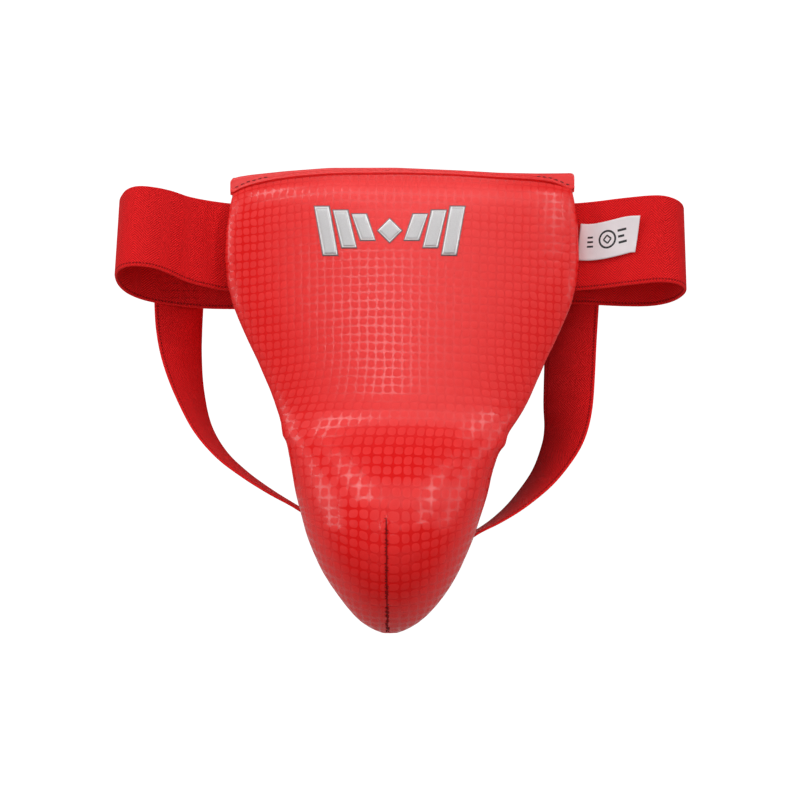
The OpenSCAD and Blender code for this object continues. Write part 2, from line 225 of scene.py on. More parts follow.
# ---------------------------------------------------------------- cover surface over (U, V) = lengths along the cloth
STEP = 0.8
zc = np.arange(Z_TOP - 0.9, -217.0, -0.1)
dc = depth(np.zeros_like(zc), zc)
vlen = np.concatenate([[0], np.cumsum(np.hypot(np.diff(zc), np.diff(dc)))])
V_END = vlen[-1]
V_TOP, V_BOT = -4.5, V_END + 6
vg = np.arange(V_TOP, V_BOT + STEP, STEP)
ug = np.arange(-168, 168 + STEP, STEP)
th = np.radians(np.linspace(-90, 90, 241))
uth = np.sin(th)
P = np.zeros((len(vg), len(ug), 3))
for r, v in enumerate(vg):
    z = float(np.interp(v, vlen, zc))
    c = skin(uth, np.full_like(uth, z))
    # carry the edge back to the plane behind and turn it in
    L, R = c[0], c[-1]
    side = []
    for e, sgn in ((L, 1), (R, -1)):
        k = np.linspace(0, 1, 12)[1:]
        wall = np.stack([e[0] + 0 * k, e[1] + (BACK_Y - 0.3 - e[1]) * k, e[2] + 0 * k], 1)
        inw = np.array([[e[0] + sgn * min(w, 0.6 * at(WIDTH, z)), BACK_Y - 0.05, e[2]] for w in (1.0, 3.0, 6.0)])
        side.append(np.concatenate([wall, inw]))
    if v < 0:  # over the top edge and back under the binding
        t = min(1.0, -v / 4.0)
        c = c.copy()
        c[:, 1] = c[:, 1] * (1 - t) + (BACK_Y - 0.4) * t
    if v > V_END:  # under the tip and back
        t = min(1.0, (v - V_END) / 5.5)
        c = c.copy()
        c[:, 1] = c[:, 1] * (1 - t) + (BACK_Y - 0.4) * t
        c[:, 2] += 0.8 * t
    line = np.concatenate([side[0][::-1], c, side[1]])
    mid = len(side[0]) + 120
    s = np.concatenate([[0], np.cumsum(np.linalg.norm(np.diff(line, axis=0), axis=1))])
    s -= s[mid]
    for k in range(3):
        P[r, :, k] = np.interp(ug, s, line[:, k])
dU = np.gradient(P, STEP, axis=1)
dV = np.gradient(P, STEP, axis=0)
NRM = np.cross(dV, dU)
nl = np.linalg.norm(NRM, axis=-1, keepdims=True)
LIVE = nl[..., 0] > 0.02
NRM = np.where(nl > 1e-6, NRM / np.maximum(nl, 1e-9), np.array([0.0, 1.0, 0.0]))
if NRM[len(vg) // 3, len(ug) // 2, 1] > 0:
    NRM = -NRM
# soften the normals so that the emboss doesn't tear at tight bends
for _ in range(2):
    q = NRM.copy()
    q[1:-1, 1:-1] = (NRM[1:-1, 1:-1] * 2 + NRM[:-2, 1:-1] + NRM[2:, 1:-1] + NRM[1:-1, :-2] + NRM[1:-1, 2:]) / 6
    NRM = q / np.maximum(np.linalg.norm(q, axis=-1, keepdims=True), 1e-9)


def cloth(U, V, G):
    x = np.clip((U - ug[0]) / STEP, 0, len(ug) - 1.001)
    y = np.clip((V - vg[0]) / STEP, 0, len(vg) - 1.001)
    i, j = x.astype(int), y.astype(int)
    fx, fy = (x - i)[..., None], (y - j)[..., None]
    return (G[j, i] * (1 - fx) * (1 - fy) + G[j, i + 1] * fx * (1 - fy)
            + G[j + 1, i] * (1 - fx) * fy + G[j + 1, i + 1] * fx * fy)


# ---------------------------------------------------------------- embossed cells
rng = np.random.default_rng(11)


def v_of(z):
    return float(np.interp(-z, -zc, vlen))


def steps(pitch, start, stop):
    """positions from start to stop, each a local pitch after the last"""
    out = [start]
    while out[-1] < stop:
        out.append(out[-1] + float(pitch(out[-1])))
    return np.array(out)


def along(v):  # the leather is drawn tight over the upper cup, so its cells are longer there
    z = np.interp(v, vlen, zc)
    return 4.7 + 2.15 * smooth01((-88 - z) / 18) - 1.15 * smooth01((-140 - z) / 25)


def across_panel(u):
    return 4.85 - 0.62 * smooth01((-u - 22) / 34) - 0.2 * smooth01((u - 45) / 30)


V_ROW = steps(along, V_TOP - 5.0, V_BOT + 6)
U_POS = steps(across_panel, 0.0, 172)
U_NEG = -steps(lambda v: across_panel(-v), 0.0, 172)[1:][::-1]
U_COL = np.concatenate([U_NEG, U_POS])
centre = len(U_NEG)
ni, nj = len(U_COL), len(V_ROW)
ci, cj = np.meshgrid(np.arange(ni) - centre, np.arange(nj))
on_cup = smooth01((V_ROW - v_of(-56)) / 66)[:, None]
CU = U_COL[None] * (1 - on_cup) + ci * np.where(ci < 0, 5.85, 5.5) * on_cup
CV = np.repeat(V_ROW[:, None], ni, 1)
# rows arch over the belly, and run down to the dart below the front of the cup
low = smooth01((CV - v_of(-138)) / 34)
flat_z = np.interp(CV, vlen, zc)
CV = CV + 0.00085 * CU ** 2 * (1 - np.clip(flat_z / Z_TOP, 0, 1)) * (1 - low) * np.minimum(1, 80 / np.maximum(np.abs(CU), 1))
CV = CV - 0.24 * (np.sqrt(CU ** 2 + 64) - 8) * low
CU = CU + rng.normal(0, 0.17, ci.shape) + 0.4 * np.sin(CV / 31 + ci * 0.17) * np.clip(np.abs(ci) / 3, 0, 1)
CV = CV + rng.normal(0, 0.17, ci.shape) + 0.75 * np.sin(CU / 27 + 0.6) + 0.22 * np.sin(CU / 11 + cj * 0.3)
V_DART = v_of(-147.5)  # the dart seam starts here
indart = CV[:, centre] > V_DART - 3


def dart_u(v):
    """the dart isn't quite in the middle: it leans back to it toward the tip"""
    return -2.3 + 1.2 * np.clip((np.asarray(v, float) - V_DART) / (V_END - V_DART), 0, 1)


CU[indart, centre] = dart_u(CV[indart, centre])

CS = 4  # segments on a side of a cell
t4 = np.linspace(-1, 1, CS + 1)
loop = np.array([(t, -1) for t in t4[:-1]] + [(1, t) for t in t4[:-1]]
                + [(-t, 1) for t in t4[:-1]] + [(-1, -t) for t in t4[:-1]])
nexp = 2.9
sup = loop / (np.abs(loop) ** nexp).sum(1, keepdims=True) ** (1 / nexp)
RINGS = [(0.865, 0.0, 0.0), (0.785, 0.022, 1.0)]
TOP = 0.026

nv_nodes = ni * nj
hx = (nj, ni - 1, CS - 1)   # points on horizontal sides
vx = (nj - 1, ni, CS - 1)   # points on vertical sides
oh = nv_nodes
ov = oh + int(np.prod(hx))
oc = ov + int(np.prod(vx))
per = 16 * len(RINGS) + 1
U = np.zeros(oc + (nj - 1) * (ni - 1) * per)
V = np.zeros_like(U)
H = np.zeros_like(U)
MASK = np.zeros_like(U)
TONE = np.zeros_like(U)
U[:nv_nodes], V[:nv_nodes] = CU.ravel(), CV.ravel()
for k in range(1, CS):
    f = k / CS
    U[oh:ov].reshape(hx)[..., k - 1] = CU[:, :-1] * (1 - f) + CU[:, 1:] * f
    V[oh:ov].reshape(hx)[..., k - 1] = CV[:, :-1] * (1 - f) + CV[:, 1:] * f
    U[ov:oc].reshape(vx)[..., k - 1] = CU[:-1] * (1 - f) + CU[1:] * f
    V[ov:oc].reshape(vx)[..., k - 1] = CV[:-1] * (1 - f) + CV[1:] * f


def bil(C, a, b):
    c00, c10, c11, c01 = C[:-1, :-1], C[:-1, 1:], C[1:, 1:], C[1:, :-1]
    x, y = (a + 1) / 2, (b + 1) / 2
    return c00 * (1 - x) * (1 - y) + c10 * x * (1 - y) + c11 * x * y + c01 * (1 - x) * y


cellU = U[oc:].reshape(nj - 1, ni - 1, per)
cellV = V[oc:].reshape(nj - 1, ni - 1, per)
cellH = H[oc:].reshape(nj - 1, ni - 1, per)
cellM = MASK[oc:].reshape(nj - 1, ni - 1, per)
cellT = TONE[oc:].reshape(nj - 1, ni - 1, per)
shift = rng.normal(0, 0.02, (nj - 1, ni - 1, 2))
grow = 1 + rng.normal(0, 0.03, (nj - 1, ni - 1, 2))
skew = rng.normal(0, 0.07, (nj - 1, ni - 1))
for r, (s, h, m) in enumerate(RINGS):
    for k in range(16):
        a = sup[k, 0] * s * np.minimum(grow[..., 0], 1.06) + shift[..., 0] + skew * sup[k, 1] * 0.6
        b = sup[k, 1] * s * np.minimum(grow[..., 1], 1.06) + shift[..., 1] + skew * sup[k, 0] * 0.6
        a, b = np.clip(a, -0.96, 0.96), np.clip(b, -0.96, 0.96)
        cellU[..., r * 16 + k] = bil(CU, a, b)
        cellV[..., r * 16 + k] = bil(CV, a, b)
        cellH[..., r * 16 + k] = h
        cellM[..., r * 16 + k] = m
cellU[..., -1], cellV[..., -1] = bil(CU, shift[..., 0], shift[..., 1]), bil(CV, shift[..., 0], shift[..., 1])
cellH[..., -1], cellM[..., -1] = TOP, 1.0
cellT[...] = rng.random((nj - 1, ni - 1))[..., None]

# faces of one cell, then of all of them
kk16 = np.arange(16)
jj, ii = np.meshgrid(np.arange(nj - 1), np.arange(ni - 1), indexing="ij")
base = oc + (jj * (ni - 1) + ii) * per
around = [jj * ni + ii]
around += [oh + (jj * (ni - 1) + ii) * (CS - 1) + k for k in range(CS - 1)]
around += [jj * ni + ii + 1]
around += [ov + (jj * ni + ii + 1) * (CS - 1) + k for k in range(CS - 1)]
around += [(jj + 1) * ni + ii + 1]
around += [oh + ((jj + 1) * (ni - 1) + ii) * (CS - 1) + k for k in range(CS - 2, -1, -1)]
around += [(jj + 1) * ni + ii]
around += [ov + (jj * ni + ii) * (CS - 1) + k for k in range(CS - 2, -1, -1)]
rings = [np.stack(around, -1)] + [base[..., None] + r * 16 + kk16 for r in range(len(RINGS))]
quads = []
for r in range(len(rings) - 1):
    A, B = rings[r], rings[r + 1]
    quads.append(np.stack([A, np.roll(A, -1, -1), np.roll(B, -1, -1), B], -1).reshape(-1, 4))
last = rings[-1]
for k in range(0, 16, 2):
    quads.append(np.stack([last[..., k], last[..., (k + 1) % 16], last[..., (k + 2) % 16], base + per - 1], -1).reshape(-1, 4))
faces = np.concatenate(quads)
# the groove of the dart seam, and puckers beside it
indent = smooth01((V - V_DART) / 5) * (1 - smooth01((V - V_END + 5) / 4))
UD = U - dart_u(V)
dart = np.exp(-((UD / 0.9) ** 2)) * indent
pucker = np.exp(-((UD / 5.0) ** 2)) * indent * np.sin(V * 2 * np.pi / 4.2)
H = H - 0.5 * dart + 0.03 * pucker - 0.22 * np.exp(-((UD / 3.0) ** 2)) * indent
Vc = np.clip(V, V_TOP, V_BOT - 0.01)
pos = cloth(U, Vc, P)
nrm = cloth(U, Vc, NRM)
nrm /= np.maximum(np.linalg.norm(nrm, axis=1, keepdims=True), 1e-9)
live = cloth(U, Vc, LIVE[..., None].astype(float))[:, 0]
pos = pos + nrm * (H * np.clip(live, 0, 1))[:, None]
# drop faces outside the cloth: those that came out with no area
a_, b_, c_, d_ = (pos[faces[:, k]] for k in range(4))
area = 0.5 * np.linalg.norm(np.cross(c_ - a_, d_ - b_), axis=1)
faces = faces[area > 0.004]
used = np.unique(faces)
remap = np.full(len(pos), -1)
remap[used] = np.arange(len(used))
print("cover faces", len(faces), "verts", len(used))
# painted highlight: this mask pales the panel where it bulges, standing in for reflected light
worn = np.exp(-(((pos[:, 0] - 8) / 56) ** 2)) * (smooth01((pos[:, 2] + 120) / 48) + 0.8 * np.exp(-(((pos[:, 2] - 37) / 12) ** 2)))  # a little paler where the panel bulges
cover = mesh_obj("cover_skin", pos[used], remap[faces], uv=np.stack([U, V], 1)[used] * 0.01,
                 attrs={"cell": MASK[used], "tone": TONE[used], "worn": worn[used]}, merge=2e-6)


# ---------------------------------------------------------------- materials
def new_mat(name, rough=0.5, metal=0.0, spec=0.5):
    m = bpy.data.materials.new(name)
    m.use_nodes = True
    nt = m.node_tree
    nt.nodes.clear()
    out = nt.nodes.new("ShaderNodeOutputMaterial")
    b = nt.nodes.new("ShaderNodeBsdfPrincipled")
    b.inputs["Roughness"].default_value = rough
    b.inputs["Metallic"].default_value = metal
    b.inputs["Specular IOR Level"].default_value = spec
    nt.links.new(b.outputs[0], out.inputs[0])
    return m, nt, b


def attr(nt, name):
    n = nt.nodes.new("ShaderNodeAttribute")
    n.attribute_name = name
    return n.outputs["Fac"]


def mth(nt, op, a, b=None, c=None, clamp=False):
    n = nt.nodes.new("ShaderNodeMath")
    n.operation = op
    n.use_clamp = clamp
    for k, v in enumerate((a, b, c)):
        if v is None:
            continue
        if isinstance(v, (int, float)):
            n.inputs[k].default_value = v
        else:
            nt.links.new(v, n.inputs[k])
    return n.outputs[0]


def mix(nt, fac, a, b, mode="MIX"):
    n = nt.nodes.new("ShaderNodeMix")
    n.data_type = "RGBA"
    n.blend_type = mode
    n.clamp_factor = True
    for sock, v in ((n.inputs[0], fac), (n.inputs[6], a), (n.inputs[7], b)):
        if isinstance(v, (int, float)):
            sock.default_value = v
        elif isinstance(v, tuple):
            sock.default_value = (*v, 1)
        else:
            nt.links.new(v, sock)
    return n.outputs[2]


def lerp(nt, fac, a, b):
    n = nt.nodes.new("ShaderNodeMix")
    n.data_type = "FLOAT"
    nt.links.new(fac, n.inputs[0])
    for sock, v in ((n.inputs[2], a), (n.inputs[3], b)):
        if isinstance(v, (int, float)):
            sock.default_value = v
        else:
            nt.links.new(v, sock)
    return n.outputs[0]


def noise(nt, scale, detail=2.0, rough=0.5, vec=None):
    n = nt.nodes.new("ShaderNodeTexNoise")
    n.inputs["Scale"].default_value = scale
    n.inputs["Detail"].default_value = detail
    n.inputs["Roughness"].default_value = rough
    if vec is None:
        tc = nt.nodes.new("ShaderNodeTexCoord")
        vec = tc.outputs["Object"]
    nt.links.new(vec, n.inputs["Vector"])
    return n.outputs[0]


def bump(nt, bsdf, height, dist, strength=1.0):
    n = nt.nodes.new("ShaderNodeBump")
    n.inputs["Distance"].default_value = dist
    n.inputs["Strength"].default_value = strength
    nt.links.new(height, n.inputs["Height"])
    nt.links.new(n.outputs[0], bsdf.inputs["Normal"])


def uv_mm(nt):
    """(length, width) of a strip in millimetres, from its UV map"""
    n = nt.nodes.new("ShaderNodeUVMap")
    n.uv_map = "UVMap"
    s = nt.nodes.new("ShaderNodeSeparateXYZ")
    nt.links.new(n.outputs[0], s.inputs[0])
    return mth(nt, "MULTIPLY", s.outputs[0], 100.0), mth(nt, "MULTIPLY", s.outputs[1], 100.0), n.outputs[0]


def put(ob, mat, body="guard", replaces=()):
    ob.data.materials.clear()
    ob.data.materials.append(mat)
    if body:
        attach(ob, body)
    if replaces:
        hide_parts(*replaces)
    return ob


# embossed synthetic leather: matt raised cells between smoother, deeper red lines
M_COVER, nt, b = new_mat("embossed_cover")
cell, tone = attr(nt, "cell"), attr(nt, "tone")
big = noise(nt, 14, 2)
line_c = (0.83, 0.0085, 0.0085)
cell_c = mix(nt, tone, (0.86, 0.010, 0.0095), (0.91, 0.013, 0.012))
base = mix(nt, cell, line_c, cell_c)
base = mix(nt, mth(nt, "MULTIPLY_ADD", big, 0.3, -0.1), base, (0.82, 0.010, 0.010))
# painted highlight: inside this mask the lines turn paler than the cells, standing in for the gloss they reflect
pale = mix(nt, cell, (0.985, 0.066, 0.066), (0.985, 0.044, 0.043))
base = mix(nt, mth(nt, "MULTIPLY", attr(nt, "worn"), 0.9), base, pale)
nt.links.new(base, b.inputs["Base Color"])
grain = noise(nt, 2600, 2, 0.6)
rg = lerp(nt, cell, 0.21, 0.50)
nt.links.new(mth(nt, "MULTIPLY_ADD", mth(nt, "SUBTRACT", grain, 0.5), 0.16, rg), b.inputs["Roughness"])
pores = noise(nt, 5200, 1, 0.5)
bump(nt, b, mth(nt, "ADD", grain, mth(nt, "MULTIPLY", pores, 0.5)), 0.00004, 0.4)

# smooth synthetic leather of the binding
M_BIND, nt, b = new_mat("binding_leather", 0.36)
g = noise(nt, 900, 3, 0.6)
tc = nt.nodes.new("ShaderNodeTexCoord")
sep = nt.nodes.new("ShaderNodeSeparateXYZ")
nt.links.new(tc.outputs["Object"], sep.inputs[0])
# painted highlight: the binding's colour is paler toward its middle
from_mid = mth(nt, "ABSOLUTE", mth(nt, "ADD", sep.outputs[0], 0.012))
mid = mth(nt, "SUBTRACT", 1.1, mth(nt, "DIVIDE", from_mid, 0.09), clamp=True)
base = mix(nt, g, (0.82, 0.021, 0.021), (0.93, 0.042, 0.041))
nt.links.new(mix(nt, mth(nt, "MULTIPLY", mid, 0.55), base, (0.985, 0.115, 0.112)), b.inputs["Base Color"])
nt.links.new(mth(nt, "MULTIPLY_ADD", g, 0.2, 0.26), b.inputs["Roughness"])
bump(nt, b, noise(nt, 1500, 3, 0.6), 0.00012, 0.6)


def elastic(name, wide, bright=1.0, shade=None, low_only=False):
    """herringbone twill elastic with a dotted selvedge"""
    m, nt, b = new_mat(name, 0.75, spec=0.14)
    s, v, _ = uv_mm(nt)
    two = 2 * math.pi
    wob = mth(nt, "MULTIPLY", noise(nt, 190, 2), 2.6)
    zig = mth(nt, "PINGPONG", mth(nt, "ADD", s, mth(nt, "MULTIPLY", noise(nt, 60, 1), 2.0)), 7.2)
    rib = mth(nt, "SINE", mth(nt, "ADD", mth(nt, "MULTIPLY_ADD", zig, two / 1.5, mth(nt, "MULTIPLY", v, two / 1.5)), wob))
    warp = mth(nt, "SINE", mth(nt, "MULTIPLY", v, two / 0.75))
    weft = mth(nt, "SINE", mth(nt, "MULTIPLY", s, two / 0.75))
    fuzz = noise(nt, 1100, 3, 0.7)
    hgt = mth(nt, "ADD", mth(nt, "MULTIPLY_ADD", rib, 0.43, 0.585), mth(nt, "MULTIPLY", mth(nt, "MULTIPLY", warp, weft), 0.16))
    hgt = mth(nt, "ADD", hgt, mth(nt, "MULTIPLY_ADD", fuzz, 0.9, -0.45))
    if low_only:
        edge = mth(nt, "ADD", v, wide / 2)
        rim = mth(nt, "MINIMUM", edge, mth(nt, "SUBTRACT", wide / 2, v))
    else:
        edge = mth(nt, "SUBTRACT", wide / 2, mth(nt, "ABSOLUTE", v))
        rim = edge
    off = mth(nt, "ABSOLUTE", mth(nt, "SUBTRACT", edge, 1.9))
    near = mth(nt, "SUBTRACT", 1.0, mth(nt, "MULTIPLY", off, 1.7), clamp=True)
    groove = mth(nt, "SUBTRACT", 1.0, mth(nt, "MULTIPLY", off, 1.0), clamp=True)
    dots = mth(nt, "MULTIPLY", mth(nt, "MULTIPLY_ADD", mth(nt, "SINE", mth(nt, "MULTIPLY", s, two / 1.8)), 2.6, 0.2, clamp=True), near, clamp=True)
    col = mix(nt, mth(nt, "MULTIPLY", hgt, 1.0, clamp=True), (0.45 * bright, 0.0008, 0.002), (1.0 * bright, 0.017, 0.020))
    big = noise(nt, 22, 2)
    col = mix(nt, mth(nt, "MULTIPLY_ADD", big, 0.24, -0.06), col, (0.74 * bright, 0.007, 0.010))
    col = mix(nt, mth(nt, "MULTIPLY", groove, 0.35), col, (0.34 * bright, 0.002, 0.004))
    # painted highlight: paler within 0.9 mm of the edges, where the edge catches light
    col = mix(nt, mth(nt, "SUBTRACT", 0.9, mth(nt, "MULTIPLY", rim, 1.0), clamp=True), col, (0.92 * bright, 0.018, 0.018))
    col = mix(nt, mth(nt, "MULTIPLY", dots, 0.92), col, (0.05, 0.0006, 0.001))
    if shade:  # (side, how dark): painted shade, the elastic is darker toward one edge
        col = mix(nt, mth(nt, "MULTIPLY_ADD", v, shade[0] / wide, 0.5, clamp=True), col, (shade[1] * 0.75, 0.0016, 0.003), "MIX")
    nt.links.new(col, b.inputs["Base Color"])
    bump(nt, b, mth(nt, "SUBTRACT", hgt, mth(nt, "MULTIPLY", dots, 0.9)), 0.00026, 0.85)
    return m


M_BAND = elastic("waistband_elastic", 50.0, 1.0, None, True)
# painted shade: the strap materials are shaded copies, darker toward one edge; the right one also a little brighter
# overall
M_STRAP = elastic("leg_strap_elastic", 30.0, 1.0, (1.0, 1.1))
M_STRAP_R = elastic("leg_strap_elastic_right_painted_shade", 30.0, 1.06, (-1.0, 0.40))

# knitted lining
M_LINING, nt, b = new_mat("lining_knit", 0.85, spec=0.25)
tc = nt.nodes.new("ShaderNodeTexCoord")
sep = nt.nodes.new("ShaderNodeSeparateXYZ")
nt.links.new(tc.outputs["Object"], sep.inputs[0])
kx = mth(nt, "SINE", mth(nt, "MULTIPLY", sep.outputs[0], 2 * math.pi / 0.0014))
kz = mth(nt, "SINE", mth(nt, "MULTIPLY", sep.outputs[2], 2 * math.pi / 0.0011))
knit = mth(nt, "MULTIPLY_ADD", mth(nt, "MULTIPLY", kx, kz), 0.4, 0.5)
fz = noise(nt, 1300, 3, 0.6)
knit = mth(nt, "ADD", knit, mth(nt, "MULTIPLY_ADD", fz, 0.5, -0.25))
nt.links.new(mix(nt, mth(nt, "MULTIPLY", knit, 1.0, clamp=True), (0.20, 0.006, 0.010), (0.42, 0.014, 0.020)), b.inputs["Base Color"])
bump(nt, b, knit, 0.00018, 0.8)
b.inputs["Sheen Weight"].default_value = 0.15

# threads
M_THREAD, nt, b = new_mat("thread", 0.6)
g = noise(nt, 2500, 2)
nt.links.new(mix(nt, g, (0.62, 0.02, 0.025), (0.80, 0.07, 0.07)), b.inputs["Base Color"])
bump(nt, b, noise(nt, 4000, 1), 0.00008, 0.7)

# painted shade: near-black thread for the binding's corner stitches, standing in for their shadowed holes
M_THREAD_SHADED, nt, b = new_mat("thread_painted_shade", 0.65)
g = noise(nt, 2500, 2)
nt.links.new(mix(nt, g, (0.07, 0.001, 0.002), (0.24, 0.004, 0.005)), b.inputs["Base Color"])
bump(nt, b, noise(nt, 4000, 1), 0.00008, 0.7)

# painted shade: dark red for the cord in the dart, which stands in for the seam's shadow line
M_DART_SHADE, nt, b = new_mat("dart_seam_painted_shade", 0.7, spec=0.2)
g = noise(nt, 1500, 2)
nt.links.new(mix(nt, g, (0.10, 0.001, 0.002), (0.40, 0.004, 0.005)), b.inputs["Base Color"])

# painted shade: the dart's stitches are near black, as if sunk in shadow
M_DART_TICK_SHADE, nt, b = new_mat("dart_ticks_painted_shade", 0.7, spec=0.2)
g = noise(nt, 1500, 2)
nt.links.new(mix(nt, g, (0.05, 0.001, 0.002), (0.16, 0.002, 0.003)), b.inputs["Base Color"])

M_THREAD_IN, nt, b = new_mat("thread_on_band", 0.75, spec=0.15)
g = noise(nt, 1500, 2)
nt.links.new(mix(nt, g, (0.42, 0.003, 0.005), (0.80, 0.015, 0.017)), b.inputs["Base Color"])

# silver film and its outline
M_SILVER, nt, b = new_mat("silver_film", 0.42, 0.55)
g = noise(nt, 1900, 3, 0.7)
nt.links.new(mix(nt, g, (0.56, 0.545, 0.55), (0.76, 0.745, 0.75)), b.inputs["Base Color"])
nt.links.new(mth(nt, "MULTIPLY_ADD", g, 0.25, 0.30), b.inputs["Roughness"])
bump(nt, b, g, 0.00005, 0.6)
M_EDGE, nt, b = new_mat("emblem_rim", 0.35, 0.3)
g = noise(nt, 1200, 2)
nt.links.new(mix(nt, g, (0.88, 0.87, 0.88), (0.96, 0.95, 0.96)), b.inputs["Base Color"])
M_OUTLINE, nt, b = new_mat("emblem_outline_grey", 0.45, 0.4)
g = noise(nt, 1400, 2)
nt.links.new(mix(nt, g, (0.20, 0.15, 0.16), (0.34, 0.28, 0.29)), b.inputs["Base Color"])

# satin of the label
M_SATIN, nt, b = new_mat("label_satin", 0.34)
s, v, uvv = uv_mm(nt)
ribs = mth(nt, "SINE", mth(nt, "MULTIPLY", v, 2 * math.pi / 0.42))
g = noise(nt, 260, 3)
nt.links.new(mix(nt, g, (0.81, 0.745, 0.765), (0.90, 0.835, 0.855)), b.inputs["Base Color"])
bump(nt, b, mth(nt, "ADD", mth(nt, "MULTIPLY", ribs, 0.3), g), 0.00005, 0.6)
b.inputs["Sheen Weight"].default_value = 0.2
M_INK, nt, b = new_mat("label_ink", 0.5)
g = noise(nt, 900, 2)
nt.links.new(mix(nt, g, (0.012, 0.012, 0.014), (0.035, 0.033, 0.036)), b.inputs["Base Color"])

# foam and the hard cup
M_FOAM, nt, b = new_mat("foam", 0.9, spec=0.2)
g = noise(nt, 1200, 4, 0.7)
nt.links.new(mix(nt, g, (0.20, 0.20, 0.21), (0.33, 0.33, 0.34)), b.inputs["Base Color"])
bump(nt, b, g, 0.0003, 0.8)
M_CUP, nt, b = new_mat("cup_plastic", 0.4)
g = noise(nt, 300, 2)
nt.links.new(mix(nt, g, (0.72, 0.72, 0.70), (0.80, 0.80, 0.78)), b.inputs["Base Color"])
bump(nt, b, g, 0.00004, 0.4)

put(cover, M_COVER, replaces=["outer_cover"])

for n, m in (("abdomen_foam", M_FOAM), ("cup_foam", M_FOAM), ("hard_cup", M_CUP)):
    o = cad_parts[n]
    o.data.materials.clear()
    o.data.materials.append(m)


# ---------------------------------------------------------------- strips of elastic
def catmull(pts, step):
    p = np.asarray(pts, float)
    out = []
    for i in range(len(p) - 1):
        a, b, c, d = p[max(0, i - 1)], p[i], p[i + 1], p[min(len(p) - 1, i + 2)]
        t = np.linspace(0, 1, 24, endpoint=False)[:, None]
        out.append(0.5 * (2 * b + (c - a) * t + (2 * a - 5 * b + 4 * c - d) * t * t + (3 * b - a - 3 * c + d) * t ** 3))
    out = np.concatenate(out + [p[-1:]])
    s = np.concatenate([[0], np.cumsum(np.linalg.norm(np.diff(out[:, :3], axis=0), axis=1))])
    n = int(s[-1] / step) + 1
    q = np.linspace(0, s[-1], n)
    r = np.stack([np.interp(q, s, out[:, k]) for k in range(out.shape[1])], 1)
    # even out the bends
    for _ in range(int(5 / step)):
        r[1:-1] = (r[:-2] + 2 * r[1:-1] + r[2:]) / 4
    s = np.concatenate([[0], np.cumsum(np.linalg.norm(np.diff(r[:, :3], axis=0), axis=1))])
    return r, s


def unit(a):
    return a / np.maximum(np.linalg.norm(a, axis=-1, keepdims=True), 1e-9)


def strip_section(wide, thick):
    """outline of webbing: rolled edges with a groove inside each, as (across, out, v)"""
    h, w = thick / 2, wide / 2
    xs = np.concatenate([[-w + 0.25, -w + 0.9, -w + 1.5, -w + 1.9, -w + 2.3, -w + 3.0],
                         np.linspace(-w + 5, w - 5, 15), [w - 3.0, w - 2.3, w - 1.9, w - 1.5, w - 0.9, w - 0.25]])
    prof = np.full(len(xs), h)
    prof[[0, -1]] = h * 0.72
    prof[[1, -2]] = h * 0.98
    prof[[3, -4]] = h * 0.70
    prof[[5, -6]] = h * 0.96
    top = np.stack([xs, prof], 1)
    bot = np.stack([xs[::-1], -prof[::-1]], 1)
    sec = np.concatenate([top, [[w, 0.0]], bot, [[-w, 0.0]]])
    return sec


def webbing(name, path, length, W, wide, thick, mat, square=1.0):
    T = unit(np.gradient(path, axis=0))
    W = unit(W - square * (W * T).sum(1, keepdims=True) * T)
    Nn = unit(np.cross(T, W))
    sec = strip_section(wide, thick)
    n, m = len(path), len(sec)
    verts = path[:, None] + W[:, None] * sec[None, :, :1] + Nn[:, None] * sec[None, :, 1:2]
    uv = np.zeros((n, m, 2))
    uv[..., 0] = length[:, None] * 0.01
    uv[..., 1] = sec[None, :, 0] * 0.01
    faces = tube_faces(n, m)
    faces += [tuple(range(m))[::-1], tuple((n - 1) * m + k for k in range(m))]
    ob = mesh_obj(name, verts.reshape(-1, 3), faces, uv=uv.reshape(-1, 2))
    outward(ob)
    ob.data.materials.append(mat)
    return ob


BAND = [[-84, 2.2, 1.5, 0], [-90, 2.2, 1.6, 0], [-96.5, 2.1, 1.9, 0], [-107, -1, 3.4, 5], [-118, -7.5, 5.7, 11],
        [-127, -16, 9.1, 17.5], [-136, -22, 11.3, 21.5], [-145, -24, 12.0, 22], [-151.5, -21.5, 10.9, 24],
        [-155.4, -15, 8.6, 27], [-157.5, -6.5, 6.4, 27], [-157.4, 2, 3.2, 22], [-153.7, 9, -0.3, 16.5], [-146.8, 13.5, -3.0, 11.5],
        [-137, 16.4, -5.2, 9], [-125, 19, -6.8, 8], [-111, 22, -7.8, 6], [-95, 23, -8, 4],
        [-60, 23, -8, 0], [0, 22.5, -7.2, 0], [60, 23, -6, 0], [105, 23.5, -5, 0],
        [118, 24, -5.5, 0], [132, 23.8, -6.2, 2], [147, 22.3, -6.3, 5], [157.7, 17, -4.8, 10], [163.1, 8, -2.0, 14],
        [164.1, -1, 1.0, 15], [160.2, -8.8, 3.6, 13], [153, -12.6, 5.3, 9], [144.5, -12, 5.5, 6],
        [127, -6, 4, 2], [116, -2, 2.8, 0], [104.5, 2.1, 2, 0], [98, 2.2, 1.8, 0], [91, 2.2, 1.6, 0]]
LEG_L = [[-125.6, 20.95, -10, 22], [-125.5, 18.9, -28, 24], [-125.3, 18.2, -44, 32], [-123.7, 18.5, -61, 45], [-119.4, 19, -81, 61],
         [-112.2, 18.8, -101, 74], [-101.4, 18.5, -116.5, 82], [-88.2, 18.5, -128, 86.5], [-73.6, 18.8, -138, 89],
         [-58, 19.6, -147.2, 91], [-47, 19.9, -154.5, 88], [-38, 18.9, -162, 74], [-30, 15.2, -169, 46],
         [-23.5, 9.6, -175, 18], [-18, 6, -180, 2], [-12, 5.2, -184.5, 0]]
